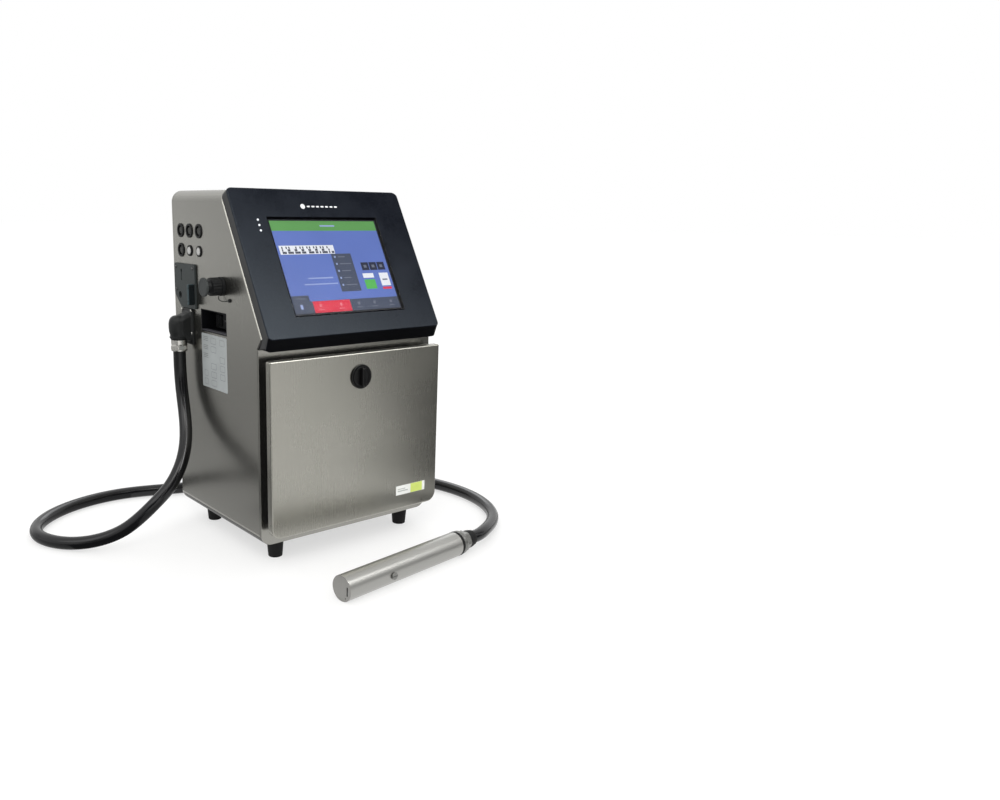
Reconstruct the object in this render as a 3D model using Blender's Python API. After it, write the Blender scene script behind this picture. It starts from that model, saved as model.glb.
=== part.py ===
"""Date code inkjet printer: stainless cabinet, sloping operator panel, hinged ink door,
umbilical hose and a cylindrical print head. Metres, +Z up, standing on z = 0."""

import math

import bmesh
import bpy
import numpy as np
from mathutils import Matrix, Vector

for stale in list(bpy.data.objects):
    bpy.data.objects.remove(stale, do_unlink=True)

# ---------------------------------------------------------------- driving dimensions
GAP = 0.0003                 # clearance between touching pieces
SHEET = 0.002                # cabinet sheet
HALF_WIDTH = 0.175           # cabinet half width
REAR_Y = 0.1635              # rear plane of the cabinet
FRONT_Y = -0.1335            # plane of the frame round the door
BASE_Z = 0.032               # underside of the cabinet, on its feet
TOP_Z = 0.600                # roof
CORNER_R = 0.020             # bend between side and roof, and between side and floor
RAIL_TOP_Z = 0.357           # top of the front frame, just under the operator panel
NOSE_Z = 0.374               # where the slope meets the nose
TILT = math.radians(29.3)    # operator panel, from vertical
PANEL_CENTRE = Vector((0.0, -0.09945, 0.48835))
PANEL_HALF_WIDTH = 0.1735
PANEL_HALF_LENGTH = 0.131    # down the slope from its centre to the chin
PANEL_TOP = 0.133            # up the slope from its centre to its top edge
PANEL_THICK = 0.017
WINDOW = (-0.003, -0.0075, 0.111, 0.088)     # centre x, centre y, half width, half height
DOOR_Y = -0.165              # front of the door
DOOR_RIM_Y = -0.152          # rear rim of the door's folded sides
DOOR_HALF_WIDTH = 0.173
DOOR_Z = (0.052, 0.342)
HINGE = Vector((0.1685, -0.143, 0.197))
DOOR_OPENING = ((-0.152, 0.152), (0.058, 0.330))
LATCH = Vector((0.0, DOOR_Y, 0.302))
HEAD_NOSE = Vector((-0.146, -0.318, 0.02075))
HEAD_TURN = math.radians(6.55)
HEAD_R = 0.02075
COVER_LENGTH = 0.256         # print head cover
SCREW_X = 0.090              # cover screw, from the nose
DECK_Y = -0.006              # flat of the print head chassis
JET_Y = -0.0125              # path of the ink drops
HOSE_R = 0.011
HOSE_AXIS = Vector((-0.1955, 0.106, 0.3455))  # underside of the elbow, where the gland nut starts
SIDE_X = -HALF_WIDTH                          # outer face of the left side
LEAD_AXIS = (0.106, 0.370)                    # y and z where the hose's core enters the cabinet
SERVICE_PORT = Vector((SIDE_X, -0.019, 0.4465))
RECESS_Y = (-0.032, 0.059)                    # power recess in the left side
RECESS_Z = (0.3655, 0.403)
ROCKER_TILT = 7.0                             # rest angle of the power rocker, in degrees
CONNECTORS = [(0.127, 0.5325, 1.0), (0.0935, 0.5325, 1.0), (0.0585, 0.5325, 1.0),
              (0.127, 0.499, 1.0), (0.0935, 0.499, 0.78), (0.0585, 0.499, 0.78)]   # y, z, size
LAMP_X = -0.131                               # status lamps on the operator panel
LAMPS_Y = (0.075, 0.0655, 0.056)
FAN = Vector((0.0, 0.1485, 0.500))
PLATE_Y = 0.1440                              # face of the hydraulic plate
TRAY_Z = BASE_Z + SHEET + 0.0005              # floor of the drip tray
STAND_OFFSET = Vector((0.0188, 0.0875, 0.0))  # puts the middle of the footprint on the origin

# Umbilical hose: down the left side, round the left and back of the cabinet, to the print head
HOSE_ROUTE = [
    (-0.1955, 0.1060, 0.3252), (-0.1957, 0.1055, 0.3000), (-0.1962, 0.1010, 0.2600),
    (-0.2040, 0.0735, 0.1995), (-0.2180, 0.0500, 0.1640), (-0.2375, 0.0335, 0.1340),
    (-0.2610, 0.0265, 0.1065), (-0.2840, 0.0290, 0.0845), (-0.3065, 0.0395, 0.0610),
    (-0.3300, 0.0560, 0.0385), (-0.3580, 0.0768, 0.0225), (-0.3937, 0.1045, 0.0136),
    (-0.4226, 0.1425, 0.0113), (-0.4340, 0.1850, 0.0113), (-0.4260, 0.2220, 0.0113),
    (-0.4040, 0.2550, 0.0113), (-0.3600, 0.2900, 0.0113), (-0.3000, 0.3125, 0.0113),
    (-0.2330, 0.3160, 0.0113), (-0.1520, 0.2930, 0.0113), (-0.0800, 0.2700, 0.0113),
    (0.0000, 0.2550, 0.0113), (0.0800, 0.2400, 0.0113), (0.1600, 0.2130, 0.0113),
    (0.2250, 0.1700, 0.0113), (0.2720, 0.1120, 0.0113), (0.3030, 0.0500, 0.0113),
    (0.3220, -0.0100, 0.0113), (0.3290, -0.0600, 0.0113), (0.3260, -0.1100, 0.0113),
    (0.3130, -0.1560, 0.0113), (0.2900, -0.1970, 0.0115), (0.2580, -0.2300, 0.0135),
    (0.2220, -0.2560, 0.0172), (0.1920, -0.2735, 0.0202), (0.1700, -0.28172, 0.02075),
    (0.1549, -0.28345, 0.02075)]
HOSE_POINTS = 72

# Colour, roughness, metallic
FINISHES = {
    "stainless": ((0.50, 0.49, 0.46), 0.36, 1.0),
    "machined_steel": ((0.62, 0.61, 0.59), 0.30, 1.0),
    "plated_steel": ((0.70, 0.69, 0.66), 0.22, 1.0),
    "aluminium": ((0.72, 0.72, 0.72), 0.40, 1.0),
    "black_plastic": ((0.020, 0.021, 0.024), 0.45, 0.0),
    "grey_plastic": ((0.16, 0.18, 0.18), 0.50, 0.0),
    "black_rubber": ((0.012, 0.012, 0.013), 0.70, 0.0),
    "hose_rubber": ((0.016, 0.016, 0.018), 0.42, 0.0),
    "screen_glass": ((0.02, 0.02, 0.03), 0.08, 0.0),
    "display": ((0.10, 0.21, 0.55), 0.30, 0.0),
    "lamp": ((0.90, 0.92, 0.95), 0.25, 0.0),
    "circuit_board": ((0.02, 0.16, 0.08), 0.50, 0.0),
    "ink_tank": ((0.05, 0.05, 0.06), 0.40, 0.0),
    "makeup_tank": ((0.82, 0.84, 0.84), 0.40, 0.0),
    "blue_cap": ((0.05, 0.20, 0.55), 0.40, 0.0),
    "tubing": ((0.75, 0.78, 0.78), 0.30, 0.0),
}


# ---------------------------------------------------------------- places to hang pieces on
ORIGIN_OF = {}


def frame_empty(name, place, parent, turn=(0.0, 0.0, 0.0), local=False):
    """An empty at `place`; pieces under it are drawn in cabinet coordinates unless it is local."""
    empty = bpy.data.objects.new(name, None)
    bpy.context.scene.collection.objects.link(empty)
    empty.parent = parent
    empty.location = place - (ORIGIN_OF[parent.name] if parent else Vector())
    empty.rotation_euler = turn
    ORIGIN_OF[name] = Vector() if local else Vector(place)
    return empty


stand = frame_empty("stand", STAND_OFFSET, None)
ORIGIN_OF["stand"] = Vector()
panel_frame = frame_empty("panel_frame", PANEL_CENTRE, stand, (math.pi / 2 - TILT, 0.0, 0.0), local=True)
door_pivot = frame_empty("door_pivot", HINGE, stand)
latch_pivot = frame_empty("latch_pivot", LATCH, door_pivot)
head_frame = frame_empty("head_frame", HEAD_NOSE, stand, (0.0, 0.0, HEAD_TURN), local=True)


# ---------------------------------------------------------------- shape tools
def finish_of(name):
    material = bpy.data.materials.get(name)
    if material is None:
        colour, roughness, metallic = FINISHES[name]
        material = bpy.data.materials.new(name)
        material.use_nodes = True
        shader = material.node_tree.nodes["Principled BSDF"]
        shader.inputs["Base Color"].default_value = (*colour, 1.0)
        shader.inputs["Roughness"].default_value = roughness
        shader.inputs["Metallic"].default_value = metallic
    return material


def link_mesh(name, shape, parent):
    bmesh.ops.recalc_face_normals(shape, faces=shape.faces)
    mesh = bpy.data.meshes.new(name)
    shape.to_mesh(mesh)
    shape.free()
    piece = bpy.data.objects.new(name, mesh)
    bpy.context.scene.collection.objects.link(piece)
    piece.parent = parent
    piece.location = -ORIGIN_OF[parent.name]
    return piece


def keep(name, shape, finish, parent=stand, smooth=False):
    """Make a named piece from a bmesh."""
    piece = link_mesh(name, shape, parent)
    piece.data.materials.append(finish_of(finish))
    if smooth:
        piece.data.shade_smooth()
        piece.data.set_sharp_from_angle(angle=math.radians(32))
    return piece


def carve(piece, shape, operation="DIFFERENCE"):
    """Cut a shape out of a piece, or join it on with UNION."""
    guide = link_mesh(piece.name + "_guide", shape, piece.parent)
    guide.hide_render = True
    guide.display_type = "WIRE"
    boolean = piece.modifiers.new(operation.lower(), "BOOLEAN")
    boolean.operation = operation
    boolean.object = guide


def gather(*shapes):
    """Several bmeshes as one, without joining their solids."""
    whole = bmesh.new()
    for shape in shapes:
        mesh = bpy.data.meshes.new("scratch")
        shape.to_mesh(mesh)
        shape.free()
        whole.from_mesh(mesh)
        bpy.data.meshes.remove(mesh)
    return whole


def box(x, y, z, chamfer=0.0):
    """A block from pairs of limits along each axis, with its edges chamfered."""
    shape = bmesh.new()
    bmesh.ops.create_cube(shape, size=1.0)
    low = Vector((x[0], y[0], z[0]))
    size = Vector((x[1], y[1], z[1])) - low
    for vert in shape.verts:
        vert.co = low + Vector(((vert.co.x + 0.5) * size.x, (vert.co.y + 0.5) * size.y,
                                (vert.co.z + 0.5) * size.z))
    if chamfer:
        bmesh.ops.bevel(shape, geom=shape.edges[:], offset=chamfer, segments=1, affect="EDGES")
    return shape


def stack(loops, ring=False):
    """Skin a list of equal loops of points; the ends are capped, or joined into a ring."""
    shape = bmesh.new()
    rows = [[shape.verts.new(point) for point in loop] for loop in loops]
    count = len(rows[0])
    pairs = list(zip(rows, rows[1:])) + ([(rows[-1], rows[0])] if ring else [])
    for below, above in pairs:
        for i in range(count):
            j = (i + 1) % count
            shape.faces.new((below[i], below[j], above[j], above[i]))
    if not ring:
        shape.faces.new(rows[0])
        shape.faces.new(rows[-1])
    return shape


def prism(outline, axis, start, end):
    """Extrude an outline of (a, b) pairs along X, Y or Z."""
    place = {"X": lambda a, b, t: (t, a, b), "Y": lambda a, b, t: (a, t, b),
             "Z": lambda a, b, t: (a, b, t)}[axis]
    return stack([[place(a, b, t) for a, b in outline] for t in (start, end)])


def turned(profile, place=(0, 0, 0), along=(0, 0, 1), segments=24, ring=False, radius=None):
    """Turn a profile of (radius, height) pairs about an axis. A ring's profile never meets the axis."""
    aim = Matrix.Translation(place) @ Vector(along).to_track_quat("Z", "Y").to_matrix().to_4x4()
    scale = radius or (lambda angle: 1.0)

    def loop(r, h):
        angles = [2 * math.pi * (i + 0.5) / segments for i in range(segments)]
        return [aim @ Vector((r * scale(a) * math.cos(a), r * scale(a) * math.sin(a), h)) for a in angles]
    return stack([loop(r, h) for r, h in profile], ring)


def rod(r, start, end, segments=16):
    """A plain round bar between two points."""
    start = Vector(start)
    along = Vector(end) - start
    return turned([(r, 0.0), (r, along.length)], start, along, segments)


def hexagon(angle):
    """Radius factor that turns a circle into a hexagon of the same corner radius."""
    sector = math.pi / 3
    return math.cos(sector / 2) / math.cos(angle % sector - sector / 2)


def rounded(x, z, radii, steps=5, inset=0.0):
    """A rectangle of (x, z) points; radii run bottom right, top right, top left, bottom left."""
    centres = [(x[1], z[0], -90, -1, 1), (x[1], z[1], 0, -1, -1),
               (x[0], z[1], 90, 1, -1), (x[0], z[0], 180, 1, 1)]
    points = []
    for (cx, cz, start, sx, sz), corner in zip(centres, radii):
        r = max(corner - inset, 0.0002)
        for i in range(steps + 1):
            angle = math.radians(start + 90 * i / steps)
            points.append((cx + sx * (inset + r) + r * math.cos(angle),
                           cz + sz * (inset + r) + r * math.sin(angle)))
    return points


def at_y(outline, y):
    return [(x, y, z) for x, z in outline]


# ---------------------------------------------------------------- cabinet
FRAME_BACK_Y = FRONT_Y + SHEET + GAP
PANEL_OUT = Vector((0.0, -math.cos(TILT), math.sin(TILT)))


def front_edge(z):
    """Where the side sheets end: upright beside the door, out to the nose, back up the slope."""
    behind = PANEL_CENTRE - (PANEL_THICK + GAP) * PANEL_OUT
    if z >= NOSE_Z:
        return behind.y + (z - behind.z) * math.tan(TILT)
    if z <= RAIL_TOP_Z:
        return FRAME_BACK_Y
    share = (z - RAIL_TOP_Z) / (NOSE_Z - RAIL_TOP_Z)
    return FRAME_BACK_Y + share * (front_edge(NOSE_Z) - FRAME_BACK_Y)


def cabinet_outline(inset=0.0, steps=5):
    """Front view of the cabinet, with a point on each side at the rail and at the nose."""
    corners = rounded((-HALF_WIDTH, HALF_WIDTH), (BASE_Z, TOP_Z), [CORNER_R] * 4, steps, inset)
    turn = steps + 1
    x = HALF_WIDTH - inset
    right = [(x, RAIL_TOP_Z), (x, NOSE_Z)]
    left = [(-x, NOSE_Z), (-x, RAIL_TOP_Z)]
    return corners[:turn] + right + corners[turn:3 * turn] + left + corners[3 * turn:]


WRAP_REAR_Y = REAR_Y - 0.008 - GAP
LEFT = Vector((-1.0, 0.0, 0.0))


def make_cabinet():
    outer = cabinet_outline()
    inner = cabinet_outline(SHEET)
    front = [front_edge(z) for x, z in outer]
    loops = [[(x, y, z) for (x, z), y in zip(outer, front)], at_y(outer, WRAP_REAR_Y),
             at_y(inner, WRAP_REAR_Y), [(x, y, z) for (x, z), y in zip(inner, front)]]
    wrapper = keep("cabinet_wrapper", stack(loops, ring=True), "stainless")
    holes = [rod(0.0100 * size, (SIDE_X - 0.01, y, z), (SIDE_X + 0.01, y, z), 12) for y, z, size in CONNECTORS]
    holes += [rod(0.011, SERVICE_PORT + 0.01 * LEFT, SERVICE_PORT - 0.01 * LEFT),
              rod(0.014, (SIDE_X - 0.01, *LEAD_AXIS), (SIDE_X + 0.01, *LEAD_AXIS)),
              box((SIDE_X - 0.01, SIDE_X + 0.01), RECESS_Y, RECESS_Z)]
    carve(wrapper, gather(*holes))


def make_rear_panel():
    """A ring of folds, closed by a flat sheet with a fan grille and a row of intake slots."""
    def pan(inset, y):
        return at_y(rounded((-HALF_WIDTH, HALF_WIDTH), (BASE_Z, TOP_Z), [CORNER_R] * 4, 5, inset), y)
    rim_y, fold = REAR_Y - 0.008, 0.0045
    loops = [pan(0.0, rim_y), pan(0.0, REAR_Y - 0.004), pan(0.0015, REAR_Y - 0.0012), pan(fold, REAR_Y),
             pan(fold, REAR_Y - SHEET), pan(SHEET, REAR_Y - fold), pan(SHEET, rim_y)]
    rear = keep("rear_panel", stack(loops, ring=True), "stainless")
    outline = rounded((-HALF_WIDTH, HALF_WIDTH), (BASE_Z, TOP_Z), [CORNER_R] * 4, 5, fold - 0.001)
    carve(rear, prism(outline, "Y", REAR_Y - SHEET, REAR_Y - 0.0001), "UNION")
    slots, through = [], (REAR_Y - 0.01, REAR_Y + 0.01)
    for i in range(-4, 5):
        x = FAN.x + 0.009 * i
        half = math.sqrt(0.040 ** 2 - (0.009 * i) ** 2)
        slots.append(box((x - 0.0025, x + 0.0025), through, (FAN.z - half, FAN.z + half)))
    for i in range(10):
        x = -0.09 + 0.02 * i
        slots.append(box((x - 0.003, x + 0.003), through, (0.375, 0.415)))
    carve(rear, gather(*slots))


def make_front_frame():
    corners = [CORNER_R, 0.001, 0.001, CORNER_R]
    opening = [0.008] * 4
    back_y = FRONT_Y + SHEET
    lip_y = FRONT_Y + 0.0135
    outer = rounded((-HALF_WIDTH, HALF_WIDTH), (BASE_Z, RAIL_TOP_Z), corners, 4)
    hole = rounded(*DOOR_OPENING, opening, 4)
    lip = rounded(*DOOR_OPENING, opening, 4, -SHEET)
    loops = [at_y(outer, back_y), at_y(outer, FRONT_Y), at_y(hole, FRONT_Y), at_y(hole, lip_y),
             at_y(lip, lip_y), at_y(lip, back_y)]
    keep("front_frame", stack(loops, ring=True), "stainless")


def make_mid_shelf():
    x, top, drop = HALF_WIDTH - SHEET - 0.0005, 0.350, 0.338
    profile = [(-x, drop), (-x, top), (x, top), (x, drop), (x - SHEET, drop), (x - SHEET, top - SHEET),
               (-x + SHEET, top - SHEET), (-x + SHEET, drop)]
    shelf = keep("mid_shelf", prism(profile, "Y", -0.110, 0.150), "stainless")
    carve(shelf, rod(0.009, (-0.115, LEAD_AXIS[0], 0.34), (-0.115, LEAD_AXIS[0], 0.36), 12))


def make_feet():
    profile = [(0.0118, 0.0), (0.0128, 0.0012), (0.0142, 0.028), (0.0142, BASE_Z - GAP)]
    for end, y in (("front", -0.108), ("rear", 0.111)):
        for side, x in (("left", -0.134), ("right", 0.134)):
            keep(f"foot_{end}_{side}", turned(profile, (x, y, 0.0), segments=24), "black_rubber", smooth=True)


# ---------------------------------------------------------------- operator panel
def make_bezel():
    """Thick sloping frame, lofted side to side: rounded corners, chamfered face and a chin."""
    half, top_r, low_r, chamfer = PANEL_HALF_WIDTH, 0.012, 0.009, 0.003
    stations = {half - chamfer}
    for r in (top_r, low_r):
        stations |= {half - r + r * math.sin(math.radians(18 * i)) for i in range(6)}
    stations = sorted(stations)
    stations = [-x for x in reversed(stations)] + stations

    def fall(x, r):
        beyond = max(0.0, abs(x) - (half - r))
        return r - math.sqrt(max(0.0, r * r - beyond * beyond))

    def section(x):
        top = PANEL_TOP - fall(x, top_r)
        low = fall(x, low_r)
        face = -chamfer * max(0.0, (abs(x) - half + chamfer) / chamfer)
        outline = [(top - chamfer, face), (low + chamfer - PANEL_HALF_LENGTH, face),
                   (low - PANEL_HALF_LENGTH - 0.002, -chamfer), (low - PANEL_HALF_LENGTH - 0.012, -0.0177),
                   (-PANEL_HALF_LENGTH - 0.0006, -0.0334), (-0.1219, -PANEL_THICK), (top, -PANEL_THICK),
                   (top, -chamfer)]
        return [(x, y, z) for y, z in outline]
    bezel = keep("hmi_bezel", stack([section(x) for x in stations]), "black_plastic", panel_frame)
    cx, cy, hx, hy = WINDOW
    cuts = [box((cx - hx, cx + hx), (cy - hy, cy + hy), (-0.05, 0.01))]
    cuts += [rod(0.0021, (LAMP_X, y, -0.05), (LAMP_X, y, 0.01), 12) for y in LAMPS_Y]
    carve(bezel, gather(*cuts))


def make_panel_inside():
    cx, cy, hx, hy = WINDOW
    hx, hy = hx - GAP, hy - GAP
    keep("touch_glass", box((cx - hx, cx + hx), (cy - hy, cy + hy), (-0.0023, -GAP)), "screen_glass", panel_frame)
    hx, hy = hx - 0.0027, hy - 0.0027
    keep("lcd_module", box((cx - hx, cx + hx), (cy - hy, cy + hy), (-0.0120, -0.0029), 0.0004), "display",
         panel_frame)
    lamps = keep("status_light_pipe", box((LAMP_X - 0.004, LAMP_X + 0.004), (0.050, 0.081), (-0.0205, -0.0173)),
                 "lamp", panel_frame)
    pins = [rod(0.0018, (LAMP_X, y, -0.019), (LAMP_X, y, 0.0004), 12) for y in LAMPS_Y]
    carve(lamps, gather(*pins), "UNION")
    board = keep("display_board", box((-0.098, 0.092), (-0.078, 0.062), (-0.0225, -0.0209)), "circuit_board",
                 panel_frame)
    chips = [box((-0.070, -0.035), (-0.010, 0.025), (-0.0245, -0.0215), 0.0005),
             box((0.000, 0.022), (-0.005, 0.017), (-0.0242, -0.0215), 0.0005),
             box((0.060, 0.084), (-0.060, -0.048), (-0.0300, -0.0215)),
             box((-0.060, 0.020), (-0.062, -0.052), (-0.0270, -0.0215)),
             box((-0.060, -0.050), (0.045, 0.052), (-0.0217, -0.0122)),
             box((0.040, 0.050), (0.045, 0.052), (-0.0217, -0.0122))]
    carve(board, gather(*chips), "UNION")


# ---------------------------------------------------------------- door and latch
def make_door():
    corners = [0.018, 0.0015, 0.0015, 0.018]
    x = (-DOOR_HALF_WIDTH, DOOR_HALF_WIDTH)

    def ring(inset, y):
        return at_y(rounded(x, DOOR_Z, corners, 4, inset), y)
    loops = [ring(SHEET, DOOR_Y + SHEET), ring(SHEET, DOOR_RIM_Y), ring(0.0, DOOR_RIM_Y),
             ring(0.0, DOOR_Y + 0.0018), ring(0.0006, DOOR_Y + 0.0006), ring(0.0018, DOOR_Y)]
    door = keep("door_panel", stack(loops), "stainless", door_pivot)
    carve(door, rod(0.0165, (LATCH.x, DOOR_Y - 0.01, LATCH.z), (LATCH.x, DOOR_Y + 0.01, LATCH.z), 24))

    outer = rounded((-0.163, 0.163), (0.062, 0.334), [0.012] * 4, 3)
    inner = rounded((-0.163, 0.163), (0.062, 0.334), [0.012] * 4, 3, 0.012)
    near, far = DOOR_Y + SHEET + GAP, FRONT_Y - GAP
    loops = [at_y(outer, near), at_y(outer, far), at_y(inner, far), at_y(inner, near)]
    keep("door_gasket", stack(loops, ring=True), "black_rubber", door_pivot)


def make_hinges():
    for name, z in (("upper", 0.290), ("lower", 0.084)):
        bracket = keep(f"hinge_bracket_{name}",
                       turned([(0.0043, z), (0.0043, z + 0.010), (0.0020, z + 0.010), (0.0020, z + 0.0295)],
                              (HINGE.x, HINGE.y, 0.0), segments=20), "machined_steel", smooth=True)
        foot = box((0.1650, 0.1728), (HINGE.y + 0.0015, FRONT_Y - GAP), (z - 0.004, z + 0.0098))
        carve(bracket, foot, "UNION")
        knuckle = keep(f"hinge_knuckle_{name}",
                       turned([(0.0023, z + 0.0103), (0.0043, z + 0.0103), (0.0043, z + 0.030),
                               (0.0023, z + 0.030)], (HINGE.x, HINGE.y, 0.0), segments=20, ring=True),
                       "machined_steel", door_pivot, smooth=True)
        arm = box((0.1662, 0.1707), (-0.1620, HINGE.y - 0.0030), (z + 0.0108, z + 0.0295))
        carve(knuckle, arm, "UNION")


def make_latch():
    out = Vector((0.0, -1.0, 0.0))
    profile = [(0.0068, -0.015), (0.0160, -0.015), (0.0160, 0.0003), (0.0205, 0.0003), (0.0205, 0.0026),
               (0.0197, 0.0034), (0.0172, 0.0034), (0.0172, 0.0012), (0.0068, 0.0012)]
    keep("latch_housing", turned(profile, LATCH, out, 28, ring=True), "black_plastic", door_pivot, smooth=True)
    profile = [(0.0060, -0.0465), (0.0060, 0.0015), (0.0168, 0.0015), (0.0168, 0.0030), (0.0162, 0.0036)]
    knob = keep("latch_knob", turned(profile, LATCH, out, 28), "black_plastic", latch_pivot, smooth=True)
    grip = box((-0.0034, 0.0034), (DOOR_Y - 0.0105, DOOR_Y - 0.0025), (LATCH.z - 0.0150, LATCH.z + 0.0150), 0.0012)
    carve(knob, grip, "UNION")
    reach, half = 0.037, 0.008
    outline = [(half, -half), (half, half), (-reach + 0.003, half), (-reach, half - 0.003),
               (-reach, -half + 0.003), (-reach + 0.003, -half)]
    outline = [(x, z + LATCH.z) for x, z in outline]
    keep("latch_cam", prism(outline, "Y", DOOR_Y + 0.0468, DOOR_Y + 0.0498), "plated_steel", latch_pivot)


# ---------------------------------------------------------------- left side fittings
def make_connectors():
    """Two rows of three round sockets, each row moulded on one strip inside the side sheet."""
    profile = [(0.0096, -0.015), (0.0096, GAP), (0.0120, GAP), (0.0120, 0.0014), (0.0112, 0.0020),
               (0.0084, 0.0020), (0.0084, -0.003)]
    for row, sockets in (("upper", CONNECTORS[:3]), ("lower", CONNECTORS[3:])):
        z = sockets[0][1]
        strip = box((SIDE_X + 0.0100, SIDE_X + 0.0125), (0.0500, 0.1360), (z - 0.011, z + 0.011))
        block = keep(f"signal_sockets_{row}", strip, "black_plastic", smooth=True)
        barrels = [turned([(r * size, h) for r, h in profile], (SIDE_X, y, z), LEFT, 14)
                   for y, z, size in sockets]
        carve(block, gather(*barrels), "UNION")


def make_umbilical_entry():
    plate = [(0.0745, 0.4000), (0.1270, 0.4000), (0.1500, 0.4200), (0.1520, 0.4280), (0.1520, 0.4720),
             (0.1500, 0.4755), (0.1470, 0.4760), (0.0755, 0.4760), (0.0725, 0.4735), (0.0725, 0.4020)]
    entry = keep("umbilical_plate", prism(plate, "X", SIDE_X - 0.0035, SIDE_X - GAP), "grey_plastic")
    slots = [box((SIDE_X - 0.01, SIDE_X + 0.001), (0.1215, 0.1255), (0.447, 0.466)),
             rod(0.0060, (SIDE_X - 0.01, 0.131, 0.421), (SIDE_X + 0.001, 0.131, 0.421), 14)]
    carve(entry, gather(*slots))
    keep("interlock_block", box((SIDE_X - 0.0150, SIDE_X - 0.0038), (0.0735, 0.0810), (0.4075, 0.4430), 0.0015),
         "black_plastic")

    bulge = [(0.0146, 0.0), (0.0152, 0.004), (0.0152, 0.010), (0.0168, 0.016), (0.0172, 0.025), (0.0164, 0.032),
             (0.0140, 0.0375), (0.0095, 0.0410)]
    hood = keep("umbilical_elbow", turned(bulge, HOSE_AXIS, (0, 0, 1), 28), "black_plastic", smooth=True)
    flange = [(0.0860, 0.3365), (0.1260, 0.3365), (0.1280, 0.3385), (0.1280, 0.3965), (0.1255, 0.3992),
              (0.0885, 0.3992), (0.0860, 0.3965)]
    carve(hood, prism(flange, "X", SIDE_X - 0.0040, SIDE_X - GAP), "UNION")
    neck = rounded((0.0895, 0.1225), (0.3470, 0.3890), [0.008] * 4, 3)
    carve(hood, prism(neck, "X", HOSE_AXIS.x, SIDE_X - 0.0025), "UNION")
    carve(hood, box((SIDE_X - GAP, SIDE_X + 0.02), (0.06, 0.15), (0.33, 0.42)))
    nut = [(0.0128, -0.0198), (0.0140, -0.0188), (0.0158, -0.0172), (0.0158, -0.0100), (0.0140, -0.0085),
           (0.0140, -GAP)]
    keep("gland_nut", turned(nut, HOSE_AXIS, (0, 0, 1), 24, radius=hexagon), "plated_steel")


def make_service_port():
    profile = [(0.0105, -0.012), (0.0105, GAP), (0.0155, GAP), (0.0155, 0.0040), (0.0125, 0.0048), (0.0125, 0.0180)]
    keep("service_port", turned(profile, SERVICE_PORT, LEFT, 24), "black_plastic", smooth=True)
    pivot = frame_empty("port_cap_pivot", SERVICE_PORT, stand)
    profile = [(0.0130, 0.0184), (0.0130, 0.0056), (0.0140, 0.0056), (0.0148, 0.0068), (0.0148, 0.0212),
               (0.0138, 0.0222), (0.0100, 0.0228), (0.0100, 0.0300), (0.0145, 0.0304), (0.01525, 0.0312),
               (0.01525, 0.0337), (0.0145, 0.0345)]
    keep("port_cap", turned(profile, SERVICE_PORT, LEFT, 24), "black_plastic", pivot, smooth=True)


def make_power_bay():
    back = SIDE_X + 0.037

    def ring(inset, x):
        return [(x, y, z) for y, z in rounded(RECESS_Y, RECESS_Z, [0.002] * 4, 2, inset)]
    loops = [ring(GAP, back), ring(GAP, SIDE_X), ring(0.0018, SIDE_X), ring(0.0018, back - 0.0015)]
    keep("power_recess", stack(loops), "black_plastic")
    face = SIDE_X + 0.022
    wall = back - 0.0015 - GAP
    inlet = keep("power_inlet", box((face, wall), (-0.0260, 0.0490), (0.3700, 0.3980), 0.001), "black_plastic")
    socket = [(-0.0200, 0.3745), (0.0030, 0.3745), (0.0030, 0.3870), (-0.0020, 0.3925), (-0.0150, 0.3925),
              (-0.0200, 0.3870)]
    carve(inlet, prism(socket, "X", face - 0.01, face + 0.010))
    pins = [box((face + 0.001, face + 0.012), (y - 0.002, y + 0.002), (z - 0.001, z + 0.001))
            for y, z in ((-0.0155, 0.380), (-0.0015, 0.380), (-0.0085, 0.388))]
    carve(inlet, gather(*pins), "UNION")
    carve(inlet, box((face - 0.01, face + 0.011), (0.0218, 0.0442), (0.3743, 0.3937)))
    pivot_at = Vector((face + 0.0045, 0.0330, 0.3840))
    pivot = frame_empty("rocker_pivot", pivot_at, stand)
    lean = Matrix.Rotation(math.radians(-ROCKER_TILT), 2)
    outline = [(-0.0060, -0.0097), (-0.0040, 0.0), (-0.0060, 0.0097), (0.0015, 0.0097), (0.0035, 0.0),
               (0.0015, -0.0097)]
    outline = [lean @ Vector(point) + pivot_at.xy for point in outline]
    keep("power_rocker", prism(outline, "Z", 0.3750, 0.3930), "black_plastic", pivot)


# ---------------------------------------------------------------- dry compartment
def make_electronics():
    board = keep("main_board", box((0.1600, 0.1616), (-0.030, 0.120), (0.365, 0.545)), "circuit_board")
    parts = [box((0.1560, 0.1606), (0.000, 0.035), (0.440, 0.475), 0.0005),
             box((0.1480, 0.1606), (0.085, 0.095), (0.380, 0.460)),
             box((0.1520, 0.1606), (-0.020, 0.020), (0.380, 0.392)),
             rod(0.008, (0.1480, 0.060, 0.520), (0.1606, 0.060, 0.520), 12)]
    parts += [rod(0.003, (0.1610, y, z), (0.1727, y, z), 8) for y in (-0.022, 0.112) for z in (0.373, 0.537)]
    carve(board, gather(*parts), "UNION")
    supply = keep("power_supply", box((-0.010, 0.100), (-0.060, 0.120), (0.3503, 0.3950), 0.001), "aluminium")
    slots = [box((0.005 + 0.012 * i, 0.009 + 0.012 * i), (-0.040, 0.080), (0.3930, 0.3960)) for i in range(7)]
    carve(supply, gather(*slots))


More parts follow.
